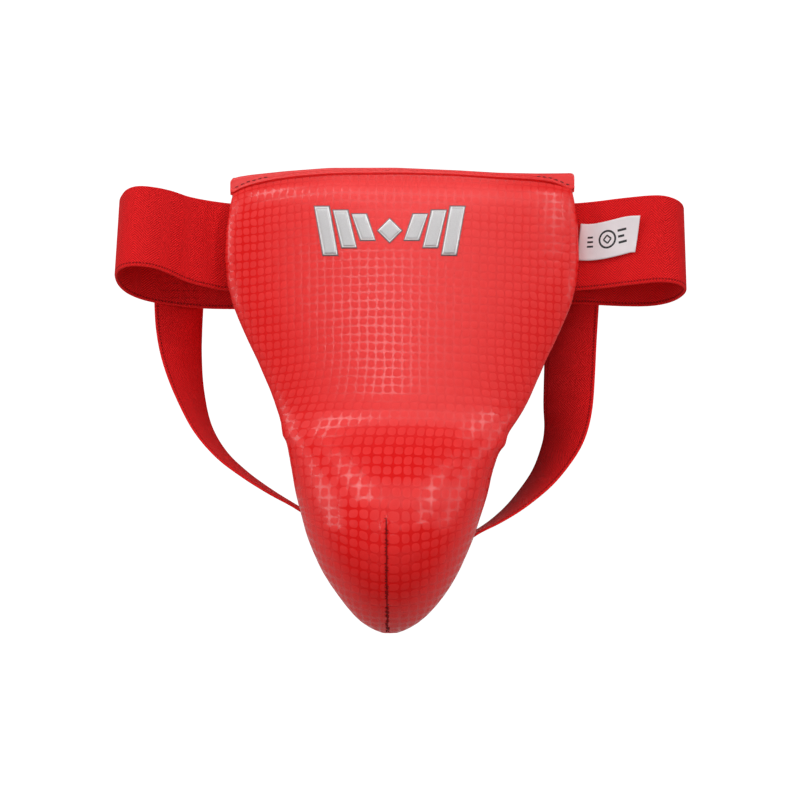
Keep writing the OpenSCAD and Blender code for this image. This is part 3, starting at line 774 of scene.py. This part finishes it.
LEG_R = [[104, 25.8, -9, 0], [103, 25.7, -28, 2], [101.6, 25, -50, 8], [100.8, 24, -67, 12], [99.8, 23, -87, 20],
         [98.4, 21.8, -102, 37], [94.6, 20.4, -113.5, 50], [85.4, 19.5, -129.5, 65], [72.2, 19.2, -143.8, 76.5],
         [59.7, 19.6, -154, 85], [46.7, 19.9, -162, 90], [37, 19.6, -168, 84], [28.5, 17.6, -173, 64],
         [21.5, 12.4, -177.5, 34], [15, 7.2, -182, 8], [8.5, 5.2, -186.5, 0]]

bp, bs = catmull(BAND, 1.5)
BAND_LEN = float(bs[-1])
tilt = np.radians(bp[:, 3])
Wb = np.stack([0 * tilt, np.sin(tilt), np.cos(tilt)], 1)
bpath = bp[:, :3].copy()
waist = webbing("waistband", bpath, bs, Wb, 50.0, 1.6, M_BAND, 0.2)


def leg(name, pts, sign):
    q, s = catmull(pts, 1.3)
    T = unit(np.gradient(q[:, :3], axis=0))
    A = unit(np.cross(T, np.array([0, 1.0, 0])))
    B = unit(np.array([0, 1.0, 0]) - T[:, 1:2] * T)
    a = np.radians(q[:, 3])[:, None]
    return webbing(name, q[:, :3], s, np.cos(a) * A + sign * np.sin(a) * B, 30.0, 1.3, M_STRAP if sign > 0 else M_STRAP_R), float(s[-1]), q, np.cos(a) * A + sign * np.sin(a) * B


strap_l, LEN_L, ql, wl = leg("leg_strap_left_webbing", LEG_L, 1)
strap_r, LEN_R, qr, wr = leg("leg_strap_right_webbing", LEG_R, -1)
print("lengths mm", BAND_LEN, LEN_L, LEN_R)
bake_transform(waist)
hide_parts("waistband_left", "waistband_right", "waistband_rear")
for o, n in ((strap_l, "leg_strap_left"), (strap_r, "leg_strap_right")):
    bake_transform(o)
    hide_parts(n)


# ---------------------------------------------------------------- top binding
BIND = np.array([[-94, 39], [-91.5, 41.2], [-83, 42.6], [-62, 44.8], [-38, 46.6], [0, 46.7],
                 [35, 45.2], [59, 43.8], [80, 43.4], [93, 43.5], [99.3, 43.6]])
bx = np.concatenate([[-94.2, -93.9, -93.4, -92.6], np.arange(-91.5, 99, 1.5), [99.4, 100.5, 101.1, 101.4]])


def bind_low(x):
    return Z_TOP + 0.2 - np.interp(np.clip((x - 3.6) / 95.8, -1, 1), us_, dr_) - 1.3 * smooth01((x - 88) / 11)


hi = np.interp(bx, BIND[:, 0], BIND[:, 1])
kk = np.array([1, 2, 3, 2, 1]) / 9
hi[4:-4] = np.convolve(hi, kk, "same")[4:-4]
hi[:4] = [38.6, 39.3, 40.0, 40.9]
hi[-4:] -= [0, 0.3, 0.9, 2.0]
lo = bind_low(bx) + 0.25
lo[:3] += [0.5, 0.25, 0.1]
lo[-3:] += [0.1, 0.2, 0.45]
yc, ht = BACK_Y - 1.7, 1.7
verts = []
for x, l, h in zip(bx, lo, hi):
    g = (h - l)
    r = min(1.35, g / 3)
    rd = min(0.62, g / 6)  # radius of the rolled lower edge
    cy, cz = -ht - 0.05, l + rd
    ring = [(cy + rd * math.cos(a), cz + rd * math.sin(a)) for a in np.radians([-60, -90, -120, -150, 180, 150, 120])]
    ring += [(-ht + 0.22, l + 2 * rd + 0.15), (-ht + 0.10, l + 2 * rd + 0.7), (-ht + 0.04, l + 2 * rd + (g - 2 * rd) * 0.45), (-ht, h - r)]
    ring += [(-ht * math.cos(a), h - r + r * math.sin(a)) for a in np.radians([18, 40, 65, 90, 115, 140, 162])]
    ring += [(ht, h - r), (ht + 0.05, l + g * 0.5), (ht - 0.2, l - 1.6), (-ht + 1.15, l - 1.6), (-ht + 0.95, l + 0.1), (-ht + 0.45, l + 0.2)]
    verts.append([(x, yc + y, z) for y, z in ring])
verts = np.array(verts)
nb, mb = verts.shape[:2]
fb = tube_faces(nb, mb) + [tuple(range(mb))[::-1], tuple((nb - 1) * mb + k for k in range(mb))]
binding = outward(mesh_obj("top_binding_strip", verts.reshape(-1, 3), fb))
put(binding, M_BIND, replaces=["top_binding"])


# ---------------------------------------------------------------- stitches
def stitches(name, items, r=0.3, body="guard", node=None, mat=None):
    """items: (centre, direction, length) in millimetres; each a small rounded bar with tapered ends"""
    V, F = [], []
    prof = [(-1.0, 0.05), (-0.86, 0.62), (-0.5, 0.95), (0, 1.0), (0.5, 0.95), (0.86, 0.62), (1.0, 0.05)]
    for c, d, ln in items:
        c, d = np.array(c, float), unit(np.array(d, float))
        a = unit(np.cross(d, [0.3, 1.0, 0.17]))
        b2 = np.cross(d, a)
        base = len(V)
        for t, k in prof:
            for q in range(7):
                w = 2 * math.pi * q / 7
                V.append(c + d * t * ln / 2 + (a * math.cos(w) + b2 * math.sin(w)) * r * k)
        F += tube_faces(len(prof), 7, off=base)
        F += [tuple(base + q for q in range(7))[::-1], tuple(base + 42 + q for q in range(7))]
    ob = outward(mesh_obj(name, V, F))
    put(ob, mat or M_THREAD, body, [node] if node else ())
    return ob


it, it2 = [], []
srng = np.random.default_rng(5)
for x in np.arange(-90.5, 99, 3.3):
    near = abs(x - 3) > 76
    z = float(bind_low(x)) + 0.25 + 1.24 + (1.1 if near else 0.35) + srng.normal(0, 0.08)
    sl = float(bind_low(x + 1) - bind_low(x - 1)) / 2
    (it if near else it2).append(((x, yc - ht + (0.02 if near else 0.26), z), (1, 0, sl + srng.normal(0, 0.05)), 2.2))
stitches("binding_stitches", it, 0.27, node="binding_thread", mat=M_THREAD_SHADED)
stitches("binding_stitches_mid", it2, 0.27, node="binding_thread", mat=M_BIND)

it = []
v_ = V_DART + 0.5
while v_ < V_END - 2.5:
    for du in (-1, 1):
        if srng.random() < 0.25:
            continue
        vv = v_ + (0.8 if du > 0 else 0) + srng.normal(0, 0.2)
        w = 0.9 + 0.5 * srng.random()
        p0 = cloth(np.array([dart_u(vv) + 0.1 * du]), np.array([vv]), P)[0]
        p1 = cloth(np.array([dart_u(vv) + w * du]), np.array([vv + srng.normal(0.2, 0.35)]), P)[0]
        nn = cloth(np.array([dart_u(vv) + 0.3 * du]), np.array([vv]), NRM)[0]
        it.append(((p0 + p1) / 2 - nn * 0.24, (p1 - p0) + nn * 0.30, 0.9))
    v_ += 1.7 + 0.5 * srng.random()
stitches("dart_stitches", it, 0.22, node="dart_thread", mat=M_DART_TICK_SHADE)
# painted shade: a dark cord sunk along the dart's groove, standing in for the seam's shadow line
dv = np.arange(V_DART - 0.6, V_END - 1.2, 0.8)
dp = cloth(dart_u(dv), dv, P)
dn = cloth(dart_u(dv), dv, NRM)
dn /= np.linalg.norm(dn, axis=1)[:, None]
fade = np.minimum(1, np.minimum(dv - dv[0] + 0.35, dv[-1] - dv + 0.35) / 3)
dp = dp - dn * (0.5 + 0.25 * (1 - fade))[:, None]
rv, k8 = [], np.arange(8) * math.pi / 4
for q, n_, f_ in zip(dp, dn, fade):
    side = np.array([1.0, 0, 0])
    for a_ in k8:
        rv.append(q + side * 0.34 * math.cos(a_) * f_ + n_ * 0.30 * math.sin(a_) * f_)
rf = tube_faces(len(dv), 8) + [tuple(range(8))[::-1], tuple((len(dv) - 1) * 8 + k for k in range(8))]
seam = outward(mesh_obj("dart_seam_shadow_cord", np.array(rv), rf))
put(seam, M_DART_SHADE, replaces=["dart_thread"])

it = []
for sx, x0 in ((-1, -87.5), (1, 94.0)):
    for k in (0, 1):
        for j in range(-9, 10):
            it.append(((x0 + sx * 6.5 * k * (1 if sx > 0 else 1), 3.12, 1.6 + 2.4 * j), (0.15, 0, 1), 2.0))
    for j in range(-2, 3):
        for zz in (-21.0, 24.0):
            it.append(((x0 + sx * (3.2 + 2.4 * j * 0.5), 3.12, zz), (1, 0, 0.1), 1.9))
stitches("waistband_end_stitches", it, 0.3, node="waist_stitching")

it = []
for k in range(4):
    zz = -14 - 4.2 * k
    for j in range(-5, 6):
        i = int(np.argmin(np.abs(ql[:, 2] - zz)))
        c = ql[i, :3] + wl[i] * (2.3 * j)
        nrmv = unit(np.cross(unit(ql[i + 1, :3] - ql[i, :3]), wl[i]))
        nrmv = nrmv * (1 if nrmv[1] > 0 else -1)
        it.append((c + nrmv * 0.72, wl[i] + np.array([0, 0, 0.25 * (-1) ** j]), 2.0))
        # the same rows show inside the band
        i2 = int(np.argmin(np.linalg.norm(bp[:, :3] - np.array([c[0], 19, -7]), axis=1)))
        tz = zz - bp[i2, 2]
        it.append((bp[i2, :3] + np.array([0, tz * math.tan(tilt[i2]) - 0.95, tz]), (1, 0.2, 0.25 * (-1) ** j), 2.0))
        i = int(np.argmin(np.abs(qr[:, 2] - (zz + 1))))
        c = qr[i, :3] + wr[i] * (2.3 * j)
        it.append((c + np.array([0, 0.75, 0]), (1, 0, 0.25 * (-1) ** j), 2.0))
        it.append(((c[0], 22.7, c[2]), (1, 0, 0.25 * (-1) ** j), 2.0))
stitches("strap_top_stitches", it, 0.3, "waistband_back", "strap_top_stitching", M_THREAD_IN)

it = []
for q, w in ((ql, wl), (qr, wr)):
    for back in (3, 8):
        i = len(q) - 1 - back
        for j in range(-5, 6):
            c = q[i, :3] + w[i] * (2.5 * j)
            it.append((c + np.array([0, 0.76, 0]), w[i] + 0.2 * (-1) ** j * np.array([0.8, 0, 0.5]), 2.1))
stitches("strap_end_stitches", it, 0.3, node="strap_end_stitching")


# ---------------------------------------------------------------- back of the guard
def back_sheet(name, z0, z1, y_front, y_back, inset, node, nz=80, nu=70, swell=0.6):
    zs = np.linspace(z0, z1, nz)
    th_ = np.linspace(-math.pi / 2, math.pi / 2, nu)
    uu = np.sin(th_)
    A = np.zeros((nz, nu, 3))
    B = np.zeros((nz, nu, 3))
    for j, z in enumerate(zs):
        p = skin(uu, np.full_like(uu, z), inset - 1.1 * float(smooth01((-206.0 - z) / 8.0)) * (z1 < Z_CUP - 20))
        ez = min(j, nz - 1 - j) / nz * (z0 - z1)
        edge = np.minimum((1 - np.abs(uu)) * at(WIDTH, z), ez)
        puff = swell * (1 - np.exp(-edge / 3.5)) - 0.45 * np.exp(-(((edge - 3.2) / 0.8) ** 2))
        roll = 0.5 * np.exp(-edge / 0.5)
        A[j] = np.stack([p[:, 0], np.full(nu, y_front), p[:, 2]], 1)
        B[j] = np.stack([p[:, 0], y_back - roll + puff, p[:, 2]], 1)
    v, f = slab(A, B)
    ob = outward(mesh_obj(name, v, f))
    put(ob, M_LINING, replaces=[node])
    return ob


back_sheet("back_lining_sheet", Z_TOP - 1.2, Z_CUP - 1.5, -0.55, 0.55, 1.6, "back_lining")
back_sheet("tail_lining_pad", -184.6, Z_TIP + 0.3, -0.55, 3.2, 1.6, "tail_lining", 40, 50, 0.7)

# soft roll round the open back of the cup
RT, RL = Z_CUP - 12, -170.0


def rim_half(z):
    return float(at(WIDTH, z)) - 8


rim = []
for z in np.linspace(RT, RL, 14):
    rim.append((float(at(LEAN, z)) - rim_half(z), 0, z))
for k in range(1, 8):
    w = rim_half(RL)
    rim.append((float(at(LEAN, RL)) - w * math.cos(math.pi * k / 8), 0, RL - 8 * math.sin(math.pi * k / 8)))
for z in np.linspace(RL, RT, 14):
    rim.append((float(at(LEAN, z)) + rim_half(z), 0, z))
for k in range(1, 10):
    w = rim_half(RT)
    rim.append((float(at(LEAN, RT)) + w * math.cos(math.pi * k / 10), 0, RT + 6 * math.sin(math.pi * k / 10)))
rim = np.array(rim)
dense = np.concatenate([np.linspace(rim[i], rim[(i + 1) % len(rim)], 6, endpoint=False) for i in range(len(rim))])
for _ in range(14):
    dense = (np.roll(dense, 1, 0) + 2 * dense + np.roll(dense, -1, 0)) / 4
T = unit(np.roll(dense, -1, 0) - np.roll(dense, 1, 0))
Wd = np.stack([-T[:, 2], 0 * T[:, 0], T[:, 0]], 1)
ang = np.radians(np.arange(0, 360, 18))
gath = 1 + 0.025 * np.sin(np.arange(len(dense)) * 2 * math.pi * 46 / len(dense))
rv = (dense[:, None] + Wd[:, None] * (5.5 * np.cos(ang))[None, :, None]
      + np.array([0, 1.0, 0]) * (1.6 + 2.25 * np.sin(ang)[None, :, None] * gath[:, None, None]))
roll = outward(mesh_obj("cup_rim_roll", rv.reshape(-1, 3), tube_faces(len(dense), len(ang), True)))
put(roll, M_LINING, replaces=["cup_rim_pad"])

# flat margin of lining between the roll and the cover's turned-in edge
out_ = dense.mean(axis=0)
sgn_ = np.sign(((dense - out_) * Wd).sum(1))
away = unit(Wd * np.where(np.median(sgn_) > 0, 1.0, -1.0))
inner = dense + away * 3.4
outer = np.zeros_like(dense)
for i, (c0, d0) in enumerate(zip(dense, away)):
    far = 3.6
    for r in np.arange(3.6, 24.0, 0.1):
        q = c0 + d0 * r
        if abs(q[0] - float(at(LEAN, q[2]))) > float(at(WIDTH, q[2])) - 1.2 or q[2] > Z_CUP - 1.2 or q[2] < -184.9:
            break
        far = r
    outer[i] = c0 + d0 * far
inner[:, 1] = outer[:, 1] = 0
up_ = np.array([0, 1.0, 0])
ring = np.stack([inner - up_ * 0.92, inner - up_ * 0.25, outer - up_ * 0.25, outer - up_ * 0.92], 1)
margin = outward(mesh_obj("cup_rim_margin", ring.reshape(-1, 3), tube_faces(len(dense), 4, True)))
put(margin, M_LINING)
# and the fold of lining under the roll, round the mouth of the cup
i1, i2 = dense + away * 1.6, dense - away * 4.4
i1[:, 1] = i2[:, 1] = 0
ring = np.stack([i2 - up_ * 1.72, i2 - up_ * 0.76, i1 - up_ * 0.76, i1 - up_ * 1.72], 1)
fold = outward(mesh_obj("cup_rim_margin_inner", ring.reshape(-1, 3), tube_faces(len(dense), 4, True)))
put(fold, M_LINING)

# the same margin at the tip
uu = np.sin(np.linspace(-math.pi / 2, math.pi / 2, 41))
rows = [skin(uu, np.full_like(uu, z), 1.3 - 1.05 * float(smooth01((-206.0 - z) / 8.0))) for z in np.linspace(-200.0, Z_TIP + 0.1, 40)]
rows = np.array(rows)
low, high = rows.copy(), rows.copy()
low[..., 1], high[..., 1] = -0.95, -0.3
v, f = slab(low, high)
put(outward(mesh_obj("tail_margin", v, f)), M_LINING)

# lining of the cup's hollow
A5, A6 = 1.4 + 5.6 + 0.4 + 2.6 + 0.4, 1.4 + 5.6 + 0.4 + 2.6 + 0.4 + 1.0


def layer(z0, z1, a, yb, nz=60, nu=61):
    uu = np.sin(np.linspace(-math.pi / 2, math.pi / 2, nu))
    zs = z0 + (z1 - z0) * (1 - (1 - np.linspace(0, 1, nz)) ** 1.3)
    rows = []
    for z in zs:
        p = skin(uu, np.full_like(uu, z), a)
        L, R = p[0].copy(), p[-1].copy()
        L[1] = R[1] = yb
        rows.append(np.concatenate([[L], p, [R]]))
    t, bt = rows[0].copy(), rows[-1].copy()
    t[:, 1] = yb
    bt[:, 1] = yb
    return np.array([t] + rows + [bt])


z0 = Z_CUP - 5.6 * 0.7 - 1.2 - 2.6 - 0.9
v, f = slab(layer(z0, Z_TIP, A5 + 0.05, -1.8), layer(z0 - 1.0, Z_TIP, A6, -1.8))
cl = outward(mesh_obj("cup_lining_shell", v, f))
put(cl, M_LINING, replaces=["cup_lining"])

# ---------------------------------------------------------------- emblem on the panel
EX, EZ, EW, EH = -3.5, 9.5, 84.0, 27.0


def on_panel(x, z, h):
    u = (x - at(LEAN, z)) / at(WIDTH, z)
    return np.stack([x, -depth(u, z) - h, z], -1)


def patch(quads, h0, h1, round_=0.5, n=12):
    """raised plates over quadrilaterals, with softened edges"""
    V, F = [], []
    for q in quads:
        q = np.array(q, float)
        t = np.array([0, 0.03, 0.08, 0.16] + list(np.linspace(0.28, 0.72, n - 8)) + [0.84, 0.92, 0.97, 1.0])
        a, b_ = np.meshgrid(t, t)
        p = (q[0] * ((1 - a) * (1 - b_))[..., None] + q[1] * (a * (1 - b_))[..., None]
             + q[2] * (a * b_)[..., None] + q[3] * ((1 - a) * b_)[..., None])
        e = np.minimum(np.minimum(a, 1 - a), np.minimum(b_, 1 - b_))
        h = h0 + (h1 - h0) * (1 - np.exp(-e / 0.035)) + 0 * e
        A = on_panel(p[..., 0], p[..., 1], h)
        B = on_panel(p[..., 0], p[..., 1], np.full_like(h, h0 - 0.25))
        v, f = slab(A, B)
        off = sum(len(k) for k in V)
        V.append(v)
        F += [tuple(off + i for i in k) for k in f]
    return np.concatenate(V), F


def bars(m):
    out = []
    for s in (-1, 1):
        for k in range(3):
            x0 = EX + s * (EW / 2 - 10.5 * k)
            w, top, low = 7.6, EZ + EH / 2 - 2.2 * k, EZ - EH / 2 + 4.2 * k
            out.append([(x0 + s * m, top + m), (x0 - s * (w + m), top + m),
                        (x0 - s * (w + 5 + m), low - m), (x0 - s * (5 - m), low - m)])
    r = 6.4 + m * 1.3
    out.append([(EX - r, EZ), (EX, EZ + r), (EX + r, EZ), (EX, EZ - r)])
    return out


v, f = patch(bars(0.75), 0.22, 0.42)
em0 = outward(mesh_obj("emblem_backing", v, f))
put(em0, M_OUTLINE, replaces=["emblem_outline"])
v, f = patch(bars(0.15), 0.45, 0.62)
em1 = outward(mesh_obj("emblem_border", v, f))
put(em1, M_EDGE)
v, f = patch(bars(-0.55), 0.62, 0.86)
em2 = outward(mesh_obj("emblem_plates", v, f))
put(em2, M_SILVER, replaces=["emblem_bars"])

# ---------------------------------------------------------------- label in the right seam
LAB = [[104.2, 0.3, 4.6, 0], [110.6, -2.2, 4.2, 2], [118.6, -5.4, 5.2, 0], [126.3, -8.6, 6.9, -2], [131.6, -10.7, 8.1, -1], [136.3, -12.0, 8.3, 0]]
lp, ls = catmull(LAB, 0.8)
T = unit(np.gradient(lp[:, :3], axis=0))
ta = np.radians(lp[:, 3])
LW = np.stack([0 * ta, np.sin(ta), np.cos(ta)], 1)
LW = unit(LW - (LW * T).sum(1, keepdims=True) * T)
LW = unit(LW + T * (0.03 + 0.13 * ls / ls[-1])[:, None])
LN = unit(np.cross(LW, T))
if LN[0, 1] > 0:
    LN = -LN
ww = np.linspace(-10.4, 10.4, 23)
gs = ls / ls[-1]
wave = 0.45 * np.sin(gs[:, None] * 5.1 + ww[None] * 0.16) * gs[:, None] + 0.25 * np.sin(gs[:, None] * 13 + 1) * gs[:, None]


def lab_pt(i, w, off):
    return lp[i, :3] + LW[i] * w + LN[i] * off


nL, mL = len(lp), len(ww)
front = np.array([[lab_pt(i, ww[j], 0.42 + wave[i, j]) for j in range(mL)] for i in range(nL)])
backl = np.array([[lab_pt(i, ww[j], -0.12 + wave[i, j]) for j in range(mL)] for i in range(nL)])
fold = np.array([[lab_pt(nL - 1, ww[j], 0.15 + wave[-1, j]) + T[-1] * 0.35 for j in range(mL)]])
sheet_out = np.concatenate([front, fold, backl[::-1]])
sheet_in = sheet_out.copy()
cen = np.concatenate([front * 0.5 + backl * 0.5, (front[-1:] + backl[-1:]) / 2, (front * 0.5 + backl * 0.5)[::-1]])
d = cen - sheet_out
sheet_in = sheet_out + unit(d) * 0.16
v, f = slab(sheet_out, sheet_in)
sl = np.concatenate([ls, [ls[-1] + 0.4], ls[-1] + 0.8 + ls])
uvl = np.stack(np.broadcast_arrays(sl[:, None] * 0.01, ww[None] * 0.01), -1).reshape(-1, 2)
label = outward(mesh_obj("size_label_satin", v, f, uv=np.concatenate([uvl, uvl])))
put(label, M_SATIN, replaces=["size_label"])


def lab_mark(s0, s1, w0, w1, ns=10, nw=6):
    a, b_ = np.meshgrid(np.linspace(s0, s1, ns), np.linspace(w0, w1, nw))
    return lab_surface(a, b_)


def lab_surface(a, b_, lift=0.03):
    i = np.clip(np.searchsorted(ls, a) - 1, 0, nL - 2)
    fr = ((a - ls[i]) / (ls[i + 1] - ls[i]))[..., None]
    j = np.clip(((b_ + 10.4) / (20.8 / 22)).astype(int), 0, mL - 2)
    fw = ((b_ - ww[j]) / (ww[1] - ww[0]))[..., None]
    p = (front[i, j] * (1 - fr) + front[i + 1, j] * fr) * (1 - fw) + (front[i, j + 1] * (1 - fr) + front[i + 1, j + 1] * fr) * fw
    return p + LN[i] * lift, p + LN[i] * (lift - 0.12)


V, F = [], []


def add_mark(a, b_):
    A, B = lab_surface(a, b_)
    v, f = slab(A, B)
    off = sum(len(k) for k in V)
    V.append(v)
    F.extend([tuple(off + i for i in k) for k in f])


def bar_mark(s0, w0, s1, w1, t):
    """a printed line from (s0, w0) to (s1, w1), t wide"""
    d = np.array([s1 - s0, w1 - w0])
    d = d / np.linalg.norm(d)
    n_ = np.array([-d[1], d[0]]) * t / 2
    k = np.linspace(0, 1, 9)
    e = np.linspace(-1, 1, 4)
    a = s0 + (s1 - s0) * k[None] + n_[0] * e[:, None]
    b2 = w0 + (w1 - w0) * k[None] + n_[1] * e[:, None]
    add_mark(a, b2)


def ring_mark(s, w, r, t):
    q = np.linspace(0, 2 * math.pi, 33)
    rr = np.array([r - t / 2, r + t / 2])
    add_mark(s + rr[:, None] * np.cos(q)[None], w + rr[:, None] * np.sin(q)[None])


for k in range(3):  # three short bars near the seam
    bar_mark(5.2, -2.6 + 2.6 * k, 8.6, -2.6 + 2.6 * k, 1.1)
ring_mark(17.2, 0.2, 4.7, 1.1)  # a ring with a crossed lozenge, and two bars
for a_, b2 in (((14.9, 0.2), (17.2, 2.5)), ((17.2, 2.5), (19.5, 0.2)), ((19.5, 0.2), (17.2, -2.1)), ((17.2, -2.1), (14.9, 0.2))):
    bar_mark(*a_, *b2, 0.9)
bar_mark(23.6, 3.6, 28.6, 3.6, 1.3)
bar_mark(23.6, 0.2, 27.2, 0.2, 1.3)
bar_mark(23.6, -3.2, 28.6, -3.2, 1.3)
marks = outward(mesh_obj("label_print", np.concatenate(V), F))
put(marks, M_INK, replaces=["label_marks"])

# ---------------------------------------------------------------- floor, light
# a plain white floor rounding up into walls, glowing so that it is even; it's for the eye only and throws no light on the object
M_FLOOR, nt, b = new_mat("floor_pale", 0.9, spec=0.0)
b.inputs["Base Color"].default_value = (0.80, 0.80, 0.80, 1)
b.inputs["Emission Color"].default_value = (1, 1, 1, 1)
b.inputs["Emission Strength"].default_value = 1.0
prof = [(0.0, 0.0), (2.6, 0.0)] + [(2.6 + 1.2 * math.sin(a), 1.2 - 1.2 * math.cos(a)) for a in np.radians(np.arange(10, 91, 10))] + [(3.8, 3.4), (2.8, 4.4), (0.0, 4.7)]
seg = 64
fv = [(0.0, 0.0, -2200.0)]
for r_, z_ in prof[1:-1]:
    fv += [(r_ * 1000 * math.cos(2 * math.pi * k / seg), r_ * 1000 * math.sin(2 * math.pi * k / seg), (z_ - 2.2) * 1000) for k in range(seg)]
fv.append((0.0, 0.0, (prof[-1][1] - 2.2) * 1000))
ff = [(0, 1 + k, 1 + (k + 1) % seg) for k in range(seg)]
for i in range(len(prof) - 3):
    a0, a1 = 1 + i * seg, 1 + (i + 1) * seg
    ff += [(a0 + k, a1 + k, a1 + (k + 1) % seg, a0 + (k + 1) % seg) for k in range(seg)]
a0 = 1 + (len(prof) - 3) * seg
ff += [(a0 + k, len(fv) - 1, a0 + (k + 1) % seg) for k in range(seg)]
floor = mesh_obj("floor", fv, ff)
floor.data.materials.append(M_FLOOR)
for flag in ("visible_diffuse", "visible_glossy", "visible_transmission", "visible_volume_scatter", "visible_shadow"):
    setattr(floor, flag, False)

world = bpy.data.worlds.new("studio")
scene.world = world
world.use_nodes = True
wt = world.node_tree
bgn = wt.nodes["Background"]
W_FU, W_FL, W_BU, W_BL = 0.02, 0.04, 0.35, 0.5  # room in front: up, down; behind: up, down
tc = wt.nodes.new("ShaderNodeTexCoord")
sep = wt.nodes.new("ShaderNodeSeparateXYZ")
wt.links.new(tc.outputs["Generated"], sep.inputs[0])


def ramp(sock, lo_, hi_):
    n = wt.nodes.new("ShaderNodeMapRange")
    n.interpolation_type = "SMOOTHSTEP"
    wt.links.new(sock, n.inputs[0])
    n.inputs[1].default_value, n.inputs[2].default_value = lo_, hi_
    return n.outputs[0]


up_down = ramp(sep.outputs[2], -0.35, 0.25)
front_v = lerp(wt, up_down, W_FL, W_FU)
back_v = lerp(wt, up_down, W_BL, W_BU)
all_v = lerp(wt, ramp(sep.outputs[1], -0.30, 0.30), front_v, back_v)
wt.links.new(all_v, bgn.inputs[1])
bgn.inputs[0].default_value = (1, 1, 1, 1)


def area(name, yaw, pitch, dist, sx, sy, radiance, aim=(0.0, -0.02, -0.06), roll=0.0):
    """a soft box seen from the object at yaw (to the right) and pitch (up) from the front"""
    ya, pi = math.radians(yaw), math.radians(pitch)
    d = Vector((math.sin(ya) * math.cos(pi), -math.cos(ya) * math.cos(pi), math.sin(pi)))
    L = bpy.data.lights.new(name, "AREA")
    L.shape = "RECTANGLE"
    L.size, L.size_y = sx, sy
    L.energy = radiance * math.pi * sx * sy
    o = bpy.data.objects.new(name, L)
    o.location = Vector(aim) + d * dist
    q = (-d).to_track_quat("-Z", "Y")
    o.rotation_euler = (q @ Quaternion((0, 0, 1), math.radians(roll))).to_euler()
    o.visible_camera = False
    scene.collection.objects.link(o)
    return o


def strip(name, a, b, width, radiance, dist=1.4):
    """a long soft box stretched between two directions (yaw, pitch)"""
    da, db = (Vector((math.sin(math.radians(y)) * math.cos(math.radians(p)), -math.cos(math.radians(y)) * math.cos(math.radians(p)),
                      math.sin(math.radians(p)))) for y, p in (a, b))
    mid = (da + db).normalized()
    o = area(name, 0, 0, dist, (db - da).length * dist, width, radiance)
    o.location = Vector((0.0, -0.02, -0.06)) + mid * dist
    z = mid
    x = (db - da).normalized()
    y = z.cross(x).normalized()
    x = y.cross(z)
    o.rotation_euler = Matrix((x, y, z)).transposed().to_euler()
    return o


area("front_a", -6, 3, 1.5, 0.30, 0.40, 4.9)
area("front_b", 7, 4, 1.5, 0.40, 0.40, 0.9)
area("top_soft", 0, 38, 1.5, 0.9, 0.80, 1.2)
strip("strip_left", (-54, 60), (-20, 38), 0.26, 6.8)
strip("strip_right", (44, 56), (30, 8), 0.22, 6.6)
area("side_left", -68, 12, 1.4, 0.6, 1.1, 3.5)
area("side_right", 64, 12, 1.4, 0.6, 1.1, 2.0)
area("front_low", 0, -38, 1.4, 1.6, 0.5, 1.65)
bpy.data.objects["front_low"].visible_glossy = False
area("back_soft", 180, 15, 1.4, 1.0, 0.8, 2.6)
bpy.data.objects["back_soft"].visible_glossy = False
